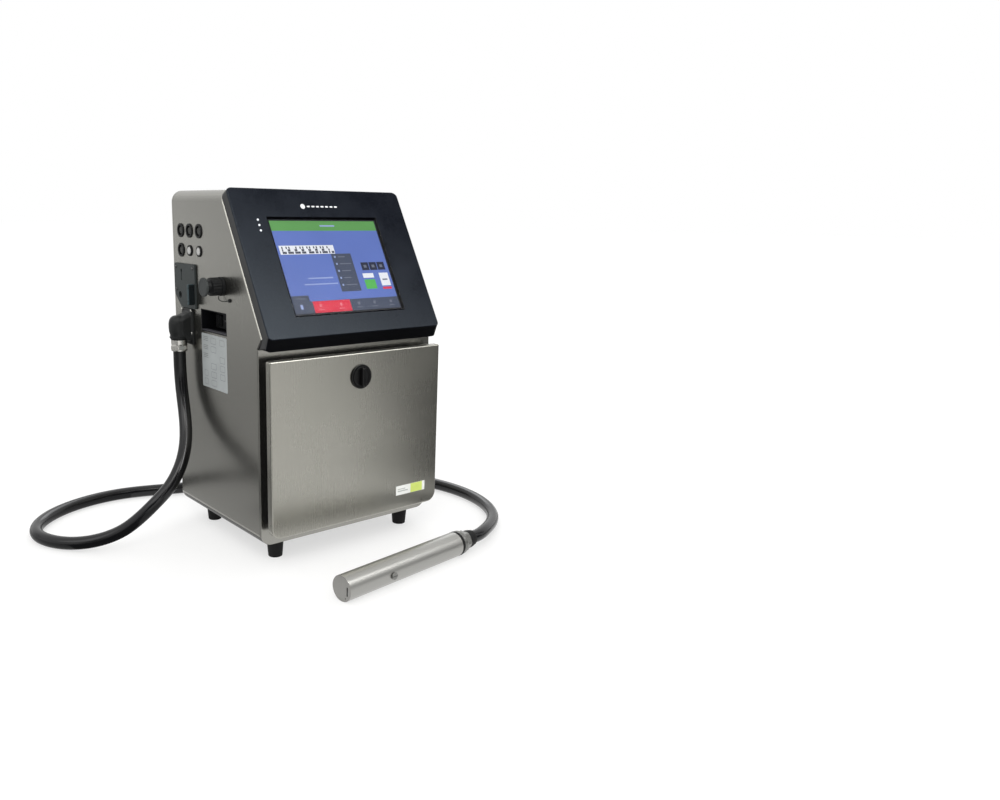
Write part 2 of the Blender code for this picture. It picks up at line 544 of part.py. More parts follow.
def make_fan():
    half, depth = 0.046, 0.0125
    near, far = FAN.y - depth, REAR_Y - SHEET - GAP
    outline = rounded((FAN.x - half, FAN.x + half), (FAN.z - half, FAN.z + half), [0.004] * 4, 2)
    frame = keep("fan_frame", prism(outline, "Y", near, far), "black_plastic")
    carve(frame, rod(0.0425, (FAN.x, near - 0.01, FAN.z), (FAN.x, far + 0.01, FAN.z), 32))
    spider = [rod(0.017, (FAN.x, near, FAN.z), (FAN.x, near + 0.003, FAN.z), 20)]
    carve(frame, gather(*spider, box((FAN.x + 0.015, FAN.x + 0.044), (near, near + 0.0028),
                                     (FAN.z - 0.002, FAN.z + 0.002))), "UNION")
    for i in range(1, 4):
        arm = box((0.015, 0.044), (near, near + 0.0028), (-0.002, 0.002))
        turn = Matrix.Translation((FAN.x, 0.0, FAN.z)) @ Matrix.Rotation(i * math.pi / 2, 4, "Y")
        bmesh.ops.transform(arm, matrix=turn, verts=arm.verts)
        carve(frame, arm, "UNION")
    pivot = frame_empty("fan_pivot", FAN, stand)
    hub = turned([(0.015, 0.0), (0.016, 0.001), (0.016, 0.016), (0.015, 0.017)],
                 (FAN.x, near + 0.0045, FAN.z), (0, 1, 0), 20)
    rotor = keep("fan_rotor", hub, "black_plastic", pivot, smooth=True)
    blades = []
    for i in range(7):
        blade = box((0.012, 0.040), (-0.0008, 0.0008), (-0.008, 0.008))
        place = (Matrix.Translation((FAN.x, near + 0.0125, FAN.z)) @ Matrix.Rotation(i * 2 * math.pi / 7, 4, "Y")
                 @ Matrix.Rotation(math.radians(-52), 4, "X"))
        bmesh.ops.transform(blade, matrix=place, verts=blade.verts)
        blades.append(blade)
    carve(rotor, gather(*blades), "UNION")


# ---------------------------------------------------------------- wet compartment
def make_drip_tray():
    def ring(inset, z):
        return [(x, y, z) for x, y in rounded((-0.150, 0.150), (-0.105, 0.138), [0.008] * 4, 2, inset)]
    loops = [ring(0.0, TRAY_Z), ring(0.0, 0.0500), ring(0.0015, 0.0500), ring(0.0015, TRAY_Z + 0.0015)]
    keep("drip_tray", stack(loops), "stainless")
    keep("hydraulic_plate", box((-0.152, 0.152), (PLATE_Y, PLATE_Y + SHEET), (TRAY_Z, 0.330), 0.0004), "stainless")


def make_tank(name, x, finish, cap_finish):
    floor = TRAY_Z + 0.0015 + GAP
    body = box((x - 0.062, x + 0.062), (-0.090, 0.035), (floor, 0.200), 0.008)
    tank = keep(f"{name}_tank", body, finish)
    cap_at = Vector((x, -0.030, 0.200))
    port = Vector((x, 0.018, 0.200))
    neck = turned([(0.0185, -0.002), (0.0185, 0.004), (0.0150, 0.004), (0.0150, 0.016)], cap_at, (0, 0, 1), 20)
    spigot = turned([(0.0060, -0.002), (0.0060, 0.010), (0.0045, 0.012)], port, (0, 0, 1), 14)
    carve(tank, gather(neck, spigot), "UNION")
    pivot = frame_empty(f"{name}_cap_pivot", cap_at, stand)
    profile = [(0.0156, 0.0165), (0.0156, 0.0055), (0.0180, 0.0055), (0.0185, 0.0065), (0.0185, 0.0190),
               (0.0170, 0.0205)]
    keep(f"{name}_cap", turned(profile, cap_at, (0, 0, 1), 24), cap_finish, pivot, smooth=True)


def make_hydraulics():
    profile = [(0.0205, 0.0), (0.0220, 0.002), (0.0220, 0.056), (0.0240, 0.058), (0.0240, 0.082), (0.0220, 0.084)]
    pump = keep("ink_pump", turned(profile, (-0.100, PLATE_Y - GAP, 0.275), (0, -1, 0), 24), "plated_steel",
                smooth=True)
    ports = [rod(0.0050, (-0.100, 0.0720, 0.270), (-0.100, 0.0720, 0.244), 12),
             rod(0.0050, (-0.100, 0.0720, 0.285), (-0.100, 0.0720, 0.305), 12)]
    flange = box((-0.128, -0.072), (PLATE_Y - 0.006, PLATE_Y - GAP), (0.247, 0.303))
    carve(pump, gather(*ports, flange), "UNION")
    can = keep("ink_filter", turned([(0.0220, 0.0), (0.0250, 0.003), (0.0250, 0.088), (0.0220, 0.092),
                                     (0.0060, 0.092), (0.0060, 0.102)], (0.100, 0.110, 0.215), (0, 0, 1), 24),
               "makeup_tank", smooth=True)
    carve(can, box((0.085, 0.115), (0.125, PLATE_Y - GAP), (0.235, 0.290)), "UNION")
    manifold = keep("valve_manifold", box((-0.052, 0.052), (0.108, PLATE_Y - GAP), (0.215, 0.262), 0.001),
                    "aluminium")
    coils = [rod(0.0095, (x, 0.112, 0.238), (x, 0.074, 0.238), 16) for x in (-0.037, -0.0125, 0.0125, 0.037)]
    outlet = rod(0.0050, (-0.030, 0.126, 0.258), (-0.030, 0.126, 0.272), 12)
    inlet = rod(0.0050, (0.030, 0.126, 0.258), (0.030, 0.126, 0.272), 12)
    carve(manifold, gather(*coils, outlet, inlet), "UNION")


# ---------------------------------------------------------------- hoses
def smooth_curve(points, count):
    """Evenly spaced points on the natural cubic spline through a list of points."""
    points = np.array(points, dtype=float)
    knots = np.concatenate([[0.0], np.cumsum(np.linalg.norm(np.diff(points, axis=0), axis=1))])
    last = len(knots) - 1
    step = np.diff(knots)
    system = np.eye(last + 1)
    load = np.zeros_like(points)
    for i in range(1, last):
        system[i, i - 1:i + 2] = (step[i - 1], 2 * (step[i - 1] + step[i]), step[i])
        load[i] = 6 * ((points[i + 1] - points[i]) / step[i] - (points[i] - points[i - 1]) / step[i - 1])
    bend = np.linalg.solve(system, load)

    def spot(t):
        i = min(max(int(np.searchsorted(knots, t)) - 1, 0), last - 1)
        a, b, h = knots[i + 1] - t, t - knots[i], step[i]
        return ((bend[i] * a ** 3 + bend[i + 1] * b ** 3) / (6 * h)
                + (points[i] / h - bend[i] * h / 6) * a + (points[i + 1] / h - bend[i + 1] * h / 6) * b)
    fine = np.array([spot(t) for t in np.linspace(0.0, knots[-1], 40 * last)])
    run = np.concatenate([[0.0], np.cumsum(np.linalg.norm(np.diff(fine, axis=0), axis=1))])
    even = np.linspace(0.0, run[-1], count)
    return np.stack([np.interp(even, run, fine[:, k]) for k in range(3)], axis=1)


def hose(name, route, r, count, finish, resolution=2):
    """A tube along a smooth route, with filled ends."""
    curve = bpy.data.curves.new(name, "CURVE")
    curve.dimensions = "3D"
    curve.bevel_depth = r
    curve.bevel_resolution = resolution
    curve.use_fill_caps = True
    curve.render_resolution_u = 0
    line = curve.splines.new("POLY")
    line.points.add(count - 1)
    for point, place in zip(line.points, smooth_curve(route, count)):
        point.co = (*place, 1.0)
    curve.materials.append(finish_of(finish))
    tube = bpy.data.objects.new(name, curve)
    bpy.context.scene.collection.objects.link(tube)
    tube.parent = stand


def make_hoses():
    hose("umbilical_hose", HOSE_ROUTE, HOSE_R, HOSE_POINTS, "hose_rubber", 2)
    hose("umbilical_lead", [(-0.1700, 0.106, 0.370), (-0.1500, 0.106, 0.370), (-0.1260, 0.106, 0.3635),
                            (-0.1150, 0.106, 0.3420), (-0.1060, 0.106, 0.3220), (-0.0830, 0.108, 0.3140),
                            (-0.0540, 0.118, 0.3080), (-0.0350, 0.125, 0.2960), (-0.0300, 0.126, 0.2840),
                            (-0.0300, 0.126, 0.2724)],
         0.0045, 16, "tubing")
    hose("ink_feed_tube", [(-0.072, 0.018, 0.2124), (-0.072, 0.018, 0.2200), (-0.074, 0.024, 0.2290),
                           (-0.084, 0.042, 0.2290), (-0.096, 0.063, 0.2270), (-0.100, 0.072, 0.2350),
                           (-0.100, 0.072, 0.2436)], 0.0040, 10, "tubing")
    hose("makeup_feed_tube", [(0.072, 0.018, 0.2124), (0.072, 0.018, 0.2350), (0.068, 0.024, 0.2700),
                              (0.055, 0.050, 0.3000), (0.040, 0.095, 0.3080), (0.031, 0.122, 0.2980),
                              (0.030, 0.126, 0.2850), (0.030, 0.126, 0.2724)], 0.0040, 14, "tubing")


# ---------------------------------------------------------------- print head, drawn nose at x = 0, rear at +x
HEAD_X = Vector((1.0, 0.0, 0.0))


def half_round(r, flat_y, steps=12):
    """Outline of a round bar with a flat on its -Y side."""
    start = math.acos(flat_y / r)
    angles = [-start + 2 * start * i / steps for i in range(steps + 1)]
    return [(r * math.cos(a), r * math.sin(a)) for a in angles]


def make_print_head():
    wall = 0.0016
    profile = [(HEAD_R - 0.0008, 0.0), (HEAD_R, 0.0008), (HEAD_R, COVER_LENGTH), (HEAD_R - wall, COVER_LENGTH),
               (HEAD_R - wall, 0.0022)]
    cover_frame = frame_empty("cover_frame", Vector(), head_frame, local=True)
    cover = keep("head_cover", turned(profile, (0, 0, 0), HEAD_X, 36), "machined_steel", cover_frame, smooth=True)
    cuts = [box((-0.01, 0.01), (JET_Y - 0.0011, JET_Y + 0.0011), (-0.0075, 0.0035)),
            rod(0.0010, (-0.01, -0.0085, -0.0135), (0.01, -0.0085, -0.0135), 10),
            rod(0.0026, (SCREW_X, -0.03, 0.0), (SCREW_X, -0.01, 0.0), 16)]
    carve(cover, gather(*cuts))
    screw_frame = frame_empty("screw_frame", Vector((SCREW_X, 0.0, 0.0)), cover_frame, local=True)
    profile = [(0.0018, -0.0026), (0.0022, -0.0022), (0.0022, GAP + 0.0002), (0.0060, GAP + 0.0002),
               (0.0060, 0.0026), (0.0054, 0.0032)]
    screw = keep("cover_screw", turned(profile, (0, -HEAD_R, 0), (0, -1, 0), 20), "plated_steel", screw_frame,
                 smooth=True)
    carve(screw, box((-0.007, 0.007), (-HEAD_R - 0.006, -HEAD_R - 0.0022), (-0.0006, 0.0006)))

    outline = half_round(0.0186, DECK_Y)
    flat = stack([[(x, y, z) for y, z in outline] for x in (0.014, 0.238)])
    chassis = keep("head_chassis", flat, "aluminium", head_frame, smooth=True)
    carve(chassis, turned([(0.0186, 0.236), (0.0186, 0.2617)], (0, 0, 0), HEAD_X, 32), "UNION")
    keep("nozzle_block", box((0.150, 0.186), (-0.0165, DECK_Y - GAP), (-0.0075, 0.0075), 0.0008), "machined_steel",
         head_frame)
    electrode = keep("charge_electrode", box((0.128, 0.142), (-0.0160, DECK_Y - GAP), (-0.0065, 0.0065)),
                     "aluminium", head_frame)
    carve(electrode, box((0.12, 0.15), (-0.02, -0.0105), (-0.0010, 0.0010)))
    plates = keep("deflector_plates", box((0.062, 0.118), (-0.0158, DECK_Y - GAP), (-0.0047, 0.0047)),
                  "plated_steel", head_frame)
    carve(plates, box((0.06, 0.12), (-0.02, -0.0080), (-0.0022, 0.0022)))
    gutter = keep("gutter_block", box((0.026, 0.046), (-0.0160, DECK_Y - GAP), (-0.0078, -0.0020), 0.0005),
                  "machined_steel", head_frame)
    carve(gutter, rod(0.0016, (0.040, JET_Y, -0.0045), (0.056, JET_Y, -0.0045), 10), "UNION")

    ring = [(0.0190, 0.2563), (0.0199, 0.2563), (0.0199, 0.2615), (0.0190, 0.2615)]
    keep("head_seal_ring", turned(ring, (0, 0, 0), HEAD_X, 32, ring=True), "black_rubber", head_frame, smooth=True)
    rear = [(0.0203, 0.2620), (0.0203, 0.2690), (0.0190, 0.2720)]
    keep("head_rear_cap", turned(rear, (0, 0, 0), HEAD_X, 32), "machined_steel", head_frame, smooth=True)
    nut = [(0.0170, 0.2723), (0.0180, 0.2732), (0.0180, 0.2830), (0.0165, 0.2860), (0.0140, 0.2980), (0.0128, 0.3020)]
    keep("head_gland_nut", turned(nut, (0, 0, 0), HEAD_X, 24, radius=hexagon), "plated_steel", head_frame)


make_cabinet()
make_rear_panel()
make_front_frame()
make_mid_shelf()
make_feet()
make_bezel()
make_panel_inside()
make_door()
make_hinges()
make_latch()
make_connectors()
make_umbilical_entry()
make_service_port()
make_power_bay()
make_electronics()
make_fan()
make_drip_tray()
make_tank("ink", -0.072, "ink_tank", "black_plastic")
make_tank("makeup", 0.072, "makeup_tank", "blue_cap")
make_hydraulics()
make_hoses()
make_print_head()
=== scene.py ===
"""Looks of the date code inkjet printer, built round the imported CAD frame. Metres, +Z up."""

from math import cos, pi, radians, sin, sqrt, tan

import bmesh
import bpy
import numpy as np
from mathutils import Matrix, Vector


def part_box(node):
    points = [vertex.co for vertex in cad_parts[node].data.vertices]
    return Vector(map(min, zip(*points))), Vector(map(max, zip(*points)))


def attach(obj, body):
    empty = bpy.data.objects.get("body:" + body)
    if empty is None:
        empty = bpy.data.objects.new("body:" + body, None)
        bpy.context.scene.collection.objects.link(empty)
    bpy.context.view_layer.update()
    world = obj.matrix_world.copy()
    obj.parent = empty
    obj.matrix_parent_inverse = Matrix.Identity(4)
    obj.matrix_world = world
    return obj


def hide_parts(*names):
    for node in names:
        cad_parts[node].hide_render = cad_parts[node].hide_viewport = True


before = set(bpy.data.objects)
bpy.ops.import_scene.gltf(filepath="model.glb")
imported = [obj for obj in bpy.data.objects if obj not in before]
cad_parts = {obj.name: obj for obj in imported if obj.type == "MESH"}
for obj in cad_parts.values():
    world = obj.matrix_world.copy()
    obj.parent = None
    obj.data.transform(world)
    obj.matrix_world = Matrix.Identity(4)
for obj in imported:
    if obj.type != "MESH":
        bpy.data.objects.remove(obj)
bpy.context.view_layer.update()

# ---------------------------------------------------------------- places taken from the frame
wrap_low, wrap_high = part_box("cabinet_wrapper")
rear_low, rear_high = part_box("rear_panel")
door_low, door_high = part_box("door_panel")
HALF_WIDTH = (wrap_high.x - wrap_low.x) / 2
BASE_Z, TOP_Z = rear_low.z, rear_high.z
REAR_Y = 0.1635                                  # the rear plane, from the cabinet's own origin
ORIGIN = Vector(((wrap_low.x + wrap_high.x) / 2, rear_high.y - REAR_Y, 0.0))
CABINET = Matrix.Translation(ORIGIN)

# Sizes shared with the CAD, in cabinet coordinates
SHEET = 0.002
GAP = 0.0003
FRONT_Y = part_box("front_frame")[0].y - ORIGIN.y
CORNER_R = 0.02
RAIL_TOP_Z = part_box("front_frame")[1].z
NOSE_Z = 0.374
TILT = radians(29.3)
PANEL_CENTRE = Vector((0.0, -0.09945, 0.48835))
PANEL_HALF_WIDTH = 0.1735
PANEL_HALF_LENGTH = 0.131
PANEL_TOP = 0.133
PANEL_THICK = 0.017
WINDOW = (-0.003, -0.0075, 0.111, 0.088)
SIDE_X = -HALF_WIDTH
DOOR_Y = door_low.y - ORIGIN.y
DOOR_RIM_Y = door_high.y - ORIGIN.y
DOOR_HALF_WIDTH = (door_high.x - door_low.x) / 2
DOOR_Z = (door_low.z, door_high.z)
LATCH = Vector((0.0, DOOR_Y, 0.302))
HEAD_NOSE = Vector((-0.146, -0.318, 0.02075))
HEAD_TURN = radians(6.55)
HEAD_R = 0.02075
COVER_LENGTH = 0.256
SCREW_X = 0.09
JET_Y = -0.0125
HOSE_R = 0.011
HOSE_AXIS = Vector((-0.1955, 0.106, 0.3455))
SERVICE_PORT = Vector((SIDE_X, -0.019, 0.4465))
RECESS_Y = (-0.032, 0.059)
RECESS_Z = (0.3655, 0.403)
FAN = Vector((0.0, 0.1485, 0.5))
SOCKETS = [(0.127, 0.5325, 1.0), (0.0935, 0.5325, 1.0), (0.0585, 0.5325, 1.0),
           (0.127, 0.499, 1.0), (0.0935, 0.499, 0.78), (0.0585, 0.499, 0.78)]
PANEL = CABINET @ Matrix.Translation(PANEL_CENTRE) @ Matrix.Rotation(pi / 2 - TILT, 4, "X")
HEAD = CABINET @ Matrix.Translation(HEAD_NOSE) @ Matrix.Rotation(HEAD_TURN, 4, "Z")
LEFT = Vector((-1.0, 0.0, 0.0))
OUT = Vector((0.0, -1.0, 0.0))
UP = Vector((0.0, 0.0, 1.0))
ALONG = Vector((1.0, 0.0, 0.0))

# The hose's route: down the left side, round behind the cabinet on the floor, and up into the print head
LYING_Z = 0.0113
HOSE_DROP = [
    (-0.1955, 0.106, 0.3252), (-0.1957, 0.1055, 0.3), (-0.1962, 0.101, 0.26), (-0.204, 0.0735, 0.1995),
    (-0.218, 0.05, 0.164), (-0.2375, 0.0335, 0.134), (-0.261, 0.0265, 0.1065), (-0.284, 0.029, 0.0845),
    (-0.3065, 0.0395, 0.061), (-0.33, 0.056, 0.0385), (-0.358, 0.0768, 0.0225), (-0.3937, 0.1045, 0.0136)]
HOSE_RUN = [
    (-0.4226, 0.1425), (-0.434, 0.185), (-0.426, 0.222), (-0.404, 0.255), (-0.36, 0.29), (-0.3, 0.3125),
    (-0.233, 0.316), (-0.152, 0.293), (-0.08, 0.27), (0.0, 0.255), (0.08, 0.24), (0.16, 0.213), (0.225, 0.17),
    (0.272, 0.112), (0.303, 0.05), (0.322, -0.01), (0.329, -0.06), (0.326, -0.11), (0.313, -0.156)]
HOSE_RISE = [
    (0.29, -0.197, 0.0115), (0.258, -0.23, 0.0135), (0.222, -0.256, 0.0172), (0.192, -0.2735, 0.0202),
    (0.17, -0.28172, 0.02075), (0.1549, -0.28345, 0.02075)]
HOSE_ROUTE = HOSE_DROP + [(x, y, LYING_Z) for x, y in HOSE_RUN] + HOSE_RISE


# ---------------------------------------------------------------- camera, floor and light
def linked(name, data):
    """A new object of the data, in the scene."""
    made = bpy.data.objects.new(name, data)
    bpy.context.scene.collection.objects.link(made)
    return made


def make_camera():
    """The eye point, heading, dip and roll that the cabinet's edges ask for."""
    yaw, dip, roll = radians(38.36), radians(-12.46), radians(0.88)
    ahead = Vector((sin(yaw) * cos(dip), cos(yaw) * cos(dip), sin(dip)))
    level = Vector((cos(yaw), -sin(yaw), 0.0))
    above = level.cross(ahead)
    right = cos(roll) * level + sin(roll) * above
    top = -sin(roll) * level + cos(roll) * above
    data = bpy.data.cameras.new("camera")
    data.sensor_width = 36.0
    data.lens = 30.68
    data.shift_x = 0.115
    camera = linked("camera", data)
    turn = Matrix((right, top, -ahead)).transposed().to_4x4()
    camera.matrix_world = Matrix.Translation(ORIGIN + Vector((-0.8292, -1.2783, 0.5691))) @ turn
    bpy.context.scene.camera = camera


def node(tree, kind, values=None, **settings):
    """A shader node with its settings, and its inputs given as values or as sockets to link."""
    made = tree.nodes.new(kind)
    for key, value in settings.items():
        setattr(made, key, value)
    for key, value in (values or {}).items():
        if isinstance(value, bpy.types.NodeSocket):
            tree.links.new(value, made.inputs[key])
        else:
            made.inputs[key].default_value = value
    return made


def area_light(name, place, target, size, power, colour):
    data = bpy.data.lights.new(name, "AREA")
    data.shape = "RECTANGLE"
    data.size, data.size_y = size
    data.energy = power
    data.color = colour
    lamp = linked(name, data)
    aim = (Vector(target) - Vector(place)).to_track_quat("-Z", "Y")
    lamp.matrix_world = Matrix.Translation(place) @ aim.to_matrix().to_4x4()


def card(name, corners, shade, start, end, cover=1.0):
    """A grey panel only reflections see, to grade the steel; it goes from clear at `start` to `cover` at `end`."""
    shape = bmesh.new()
    shape.faces.new([shape.verts.new(corner) for corner in corners])
    made = as_object(name, shape)
    made.matrix_world = CABINET
    material = bpy.data.materials.new(name)
    material.use_nodes = True
    tree = material.node_tree
    tree.nodes.clear()
    run = Vector(end) - Vector(start)
    own = node(tree, "ShaderNodeTexCoord").outputs["Object"]
    away = node(tree, "ShaderNodeVectorMath", {0: own, 1: Vector(start)}, operation="SUBTRACT").outputs[0]
    share = node(tree, "ShaderNodeVectorMath", {0: away, 1: run / run.length_squared}, operation="DOT_PRODUCT")
    share = node(tree, "ShaderNodeMapRange", {"Value": share.outputs["Value"], "To Max": cover},
                 interpolation_type="SMOOTHSTEP").outputs[0]
    glow = node(tree, "ShaderNodeEmission", {"Color": (shade, shade, shade, 1.0)}).outputs[0]
    clear = node(tree, "ShaderNodeBsdfTransparent").outputs[0]
    mixed = node(tree, "ShaderNodeMixShader", {0: share, 1: clear, 2: glow}).outputs[0]
    node(tree, "ShaderNodeOutputMaterial", {"Surface": mixed})
    made.data.materials.append(material)
    for kind in ("camera", "diffuse", "shadow", "transmission"):
        setattr(made, f"visible_{kind}", False)


def make_studio():
    world = bpy.data.worlds.new("studio")
    bpy.context.scene.world = world
    world.use_nodes = True
    tree = world.node_tree
    tree.nodes.clear()
    sky = node(tree, "ShaderNodeTexCoord").outputs["Generated"]
    parts = node(tree, "ShaderNodeSeparateXYZ", {0: sky}).outputs
    rise = node(tree, "ShaderNodeMapRange", {"Value": parts["Z"], "To Min": 0.85, "To Max": 1.15}).outputs[0]
    lit = node(tree, "ShaderNodeBackground", {"Color": rise})
    seen = node(tree, "ShaderNodeBackground", {"Color": (1.0, 1.0, 1.0, 1.0)})
    direct = node(tree, "ShaderNodeLightPath").outputs["Is Camera Ray"]
    mixed = node(tree, "ShaderNodeMixShader", {0: direct, 1: lit.outputs[0], 2: seen.outputs[0]})
    node(tree, "ShaderNodeOutputWorld", {"Surface": mixed.outputs[0]})
    bpy.context.scene.view_settings.view_transform = "Standard"

    area_light("key_light", (-1.6, -2.0, 2.6), (0.0, 0.0, 0.2), (1.8, 1.8), 36.0, (1.0, 0.985, 0.96))
    area_light("rear_light", (1.4, 1.8, 1.8), (0.0, 0.0, 0.3), (1.4, 1.4), 14.0, (0.96, 0.98, 1.0))

    def flat(x, y, z):
        return at_z([(x[0], y[0]), (x[1], y[0]), (x[1], y[1]), (x[0], y[1])], z)

    def wall(left, right, z):
        return [(*left, z[0]), (*right, z[0]), (*right, z[1]), (*left, z[1])]

    # before the door: a dark floor and wall to the right, and a bright floor close to its lower left
    card("door_card", flat((0, 3.5), (-0.2, -4), 0.004), 0.02, (0.44, -0.8, 0), (0.64, -0.67, 0))
    card("door_wall_card", wall((2.2, -4), (6, -4), (0, 1.8)), 0.04, (2.75, 0, 0), (3.4, 0, 0))
    card("door_low_card", flat((-0.6, 0.6), (-0.17, -0.75), 0.005), 1.12, (0.34, -0.48, 0), (0.21, -0.38, 0))
    card("door_corner_card", flat((0.12, 0.6), (-0.17, -0.6), 0.0065), 0.05, (0.18, -0.35, 0), (0.38, -0.35, 0), 0.6)
    # beside the left side: a dark floor and wall far off, and a lighter floor close to it
    card("side_card", flat((-7, -0.22), (0, 9), 0.003), 0.05, (-2.7, 6.1, 0), (-0.45, 0.95, 0), 0.62)
    card("side_wall_card", wall((-4, 3), (-1.2, 3), (0, 2)), 0.3, (-1.35, 0, 0), (-2, 0, 0), 0.4)
    card("side_low_card", flat((-0.75, -0.22), (-0.3, 1), 0.005), 0.52, (-0.6, 0.8, 0), (-0.3, 0.25, 0))
    # high on the left, for the rolled front edge of the side
    card("edge_card", wall((-2, -1.5), (-2, 0.5), (0.9, 2.2)), 2.2, (0, 0, 0.9), (0, 0, 1.2))
    # slope of the operator panel: dark overhead, bright towards its lower left corner
    card("panel_dark_card", wall((-0.2, -0.97), (3.4, -0.97), (0.8, 3.4)), 0.03, (0, 0, 0.7), (0, 0, 0.8))
    card("panel_light_card", wall((-0.2, -0.95), (2.4, -0.95), (0.8, 2.6)), 7.8, (0.94, 0, 1.91), (0.25, 0, 1.31))
    # dark floor on both sides of the line from the hose to the camera, evenly covered, for the hose's dark edges
    spots = [(-0.3, 0.02), (-2, -1.95), (-3.2, -0.8), (-3.2, 0.1), (-0.3, 0.1)]
    card("hose_left_card", at_z(spots, 0.006), 0.03, (0, 0, -1), (0, 0, 0), 0.85)
    spots = [(-0.3, -0.45), (-0.18, -0.45), (-0.18, -1.9), (-0.5, -1.9)]
    card("hose_right_card", at_z(spots, 0.006), 0.03, (0, 0, -1), (0, 0, 0), 0.8)
    # dark wall behind the camera with one tall light, for the hose and the black fittings
    card("front_dark_card", wall((-3.4, -1.4), (0.7, -3.2), (0.1, 3.2)), 0.05, (0, 0, 0.05), (0, 0, 0.4))
    card("front_light_card", wall((-1.52, -2.2), (-1.28, -2.31), (0.2, 2.4)), 2.6, (0, 0, 0.1), (0, 0, 0.3))

    shape = bmesh.new()
    bmesh.ops.create_circle(shape, cap_ends=True, segments=96, radius=30.0)
    floor = as_object("floor", shape)
    shader_tree("pale_floor", (0.38, 0.38, 0.378), 0.9, 0.0, Emission_Color=(0.61, 0.61, 0.608, 1.0),
                Emission_Strength=1.0, Specular_IOR_Level=0.0)
    floor.data.materials.append(SHADERS["pale_floor"])


# ---------------------------------------------------------------- materials
SHADERS = {}


def shader_tree(name, colour, roughness, metallic, **sockets):
    """A Principled material with its plain values set; returns its tree and shader."""
    material = bpy.data.materials.new(name)
    material.use_nodes = True
    tree = material.node_tree
    shader = tree.nodes["Principled BSDF"]
    shader.inputs["Base Color"].default_value = (*colour, 1.0)
    shader.inputs["Roughness"].default_value = roughness
    shader.inputs["Metallic"].default_value = metallic
    for key, value in sockets.items():
        shader.inputs[key.replace("_", " ")].default_value = value
    material.diffuse_color = (*colour, 1.0)
    SHADERS[name] = material
    return tree, shader


def stretched_noise(tree, stretch, detail):
    """Noise in the piece's own coordinates, stretched by a different factor on each axis."""
    own = node(tree, "ShaderNodeTexCoord").outputs["Object"]
    spread = node(tree, "ShaderNodeMapping", {"Vector": own, "Scale": stretch}).outputs[0]
    return node(tree, "ShaderNodeTexNoise", {"Vector": spread, "Scale": 1.0, "Detail": detail,
                                             "Roughness": 0.6}).outputs["Fac"]


def spread_to(tree, fac, low, high):
    """The middle of a noise's range, 0.3 to 0.7, spread from `low` to `high`."""
    return node(tree, "ShaderNodeMapRange", {"Value": fac, "From Min": 0.3, "From Max": 0.7,
                                             "To Min": low, "To Max": high}).outputs[0]


def combined(tree, operation, a, b):
    return node(tree, "ShaderNodeMath", {0: a, 1: b}, operation=operation).outputs[0]


def tinted(tree, shader, fac, dark, light):
    """Colour between two tones of the base, by a factor."""
    base = shader.inputs["Base Color"].default_value
    dark, light = [(*[c * k for c in base[:3]], 1.0) for k in (dark, light)]
    mix = node(tree, "ShaderNodeMix", {"Factor": fac, 6: dark, 7: light}, data_type="RGBA")
    tree.links.new(mix.outputs[2], shader.inputs["Base Color"])


def bumped(tree, shader, fac, strength):
    bump = node(tree, "ShaderNodeBump", {"Height": fac, "Strength": strength, "Distance": 0.0002})
    tree.links.new(bump.outputs[0], shader.inputs["Normal"])


def brushed(name, colour, roughness, grain, tone=0.012):
    """Grained stainless: fine scratches along the grain, broad streaks and faint smudges."""
    tree, shader = shader_tree(name, colour, roughness, 1.0, Anisotropic=0.2)
    fine = stretched_noise(tree, [1700.0 if g == 0 else 14.0 for g in grain], 4.0)
    broad = stretched_noise(tree, [150.0 if g == 0 else 2.5 for g in grain], 3.0)
    smudge = stretched_noise(tree, (7.0,) * 3, 4.0)
    streak = combined(tree, "MULTIPLY", combined(tree, "ADD", fine, broad), 0.5)
    tinted(tree, shader, spread_to(tree, streak, 0.0, 1.0), 1.0 - tone, 1.0 + tone)
    worn = combined(tree, "ADD", spread_to(tree, fine, -0.008, 0.008),
                    spread_to(tree, smudge, roughness - 0.02, roughness + 0.025))
    tree.links.new(worn, shader.inputs["Roughness"])
    bumped(tree, shader, fine, 0.006)


def moulded(name, colour, roughness, texture=900.0, bump=0.12, **sockets):
    """Moulded plastic or rubber: a fine spark texture and patches of wear."""
    tree, shader = shader_tree(name, colour, roughness, 0.0, **sockets)
    spark = stretched_noise(tree, (texture,) * 3, 2.0)
    patch = stretched_noise(tree, (11.0,) * 3, 5.0)
    tinted(tree, shader, spread_to(tree, patch, 0.0, 1.0), 0.86, 1.16)
    rubbed = combined(tree, "ADD", spread_to(tree, spark, -0.04, 0.04),
                      spread_to(tree, patch, roughness - 0.05, roughness + 0.07))
    tree.links.new(rubbed, shader.inputs["Roughness"])
    bumped(tree, shader, spark, bump)


def bright_metal(name, colour, roughness):
    """Plated or machined metal, with fine marks and a haze."""
    tree, shader = shader_tree(name, colour, roughness, 1.0)
    marks = stretched_noise(tree, (500.0,) * 3, 3.0)
    haze = stretched_noise(tree, (40.0,) * 3, 4.0)
    tinted(tree, shader, spread_to(tree, marks, 0.0, 1.0), 0.9, 1.06)
    tree.links.new(spread_to(tree, haze, roughness - 0.06, roughness + 0.08), shader.inputs["Roughness"])
    bumped(tree, shader, marks, 0.08)


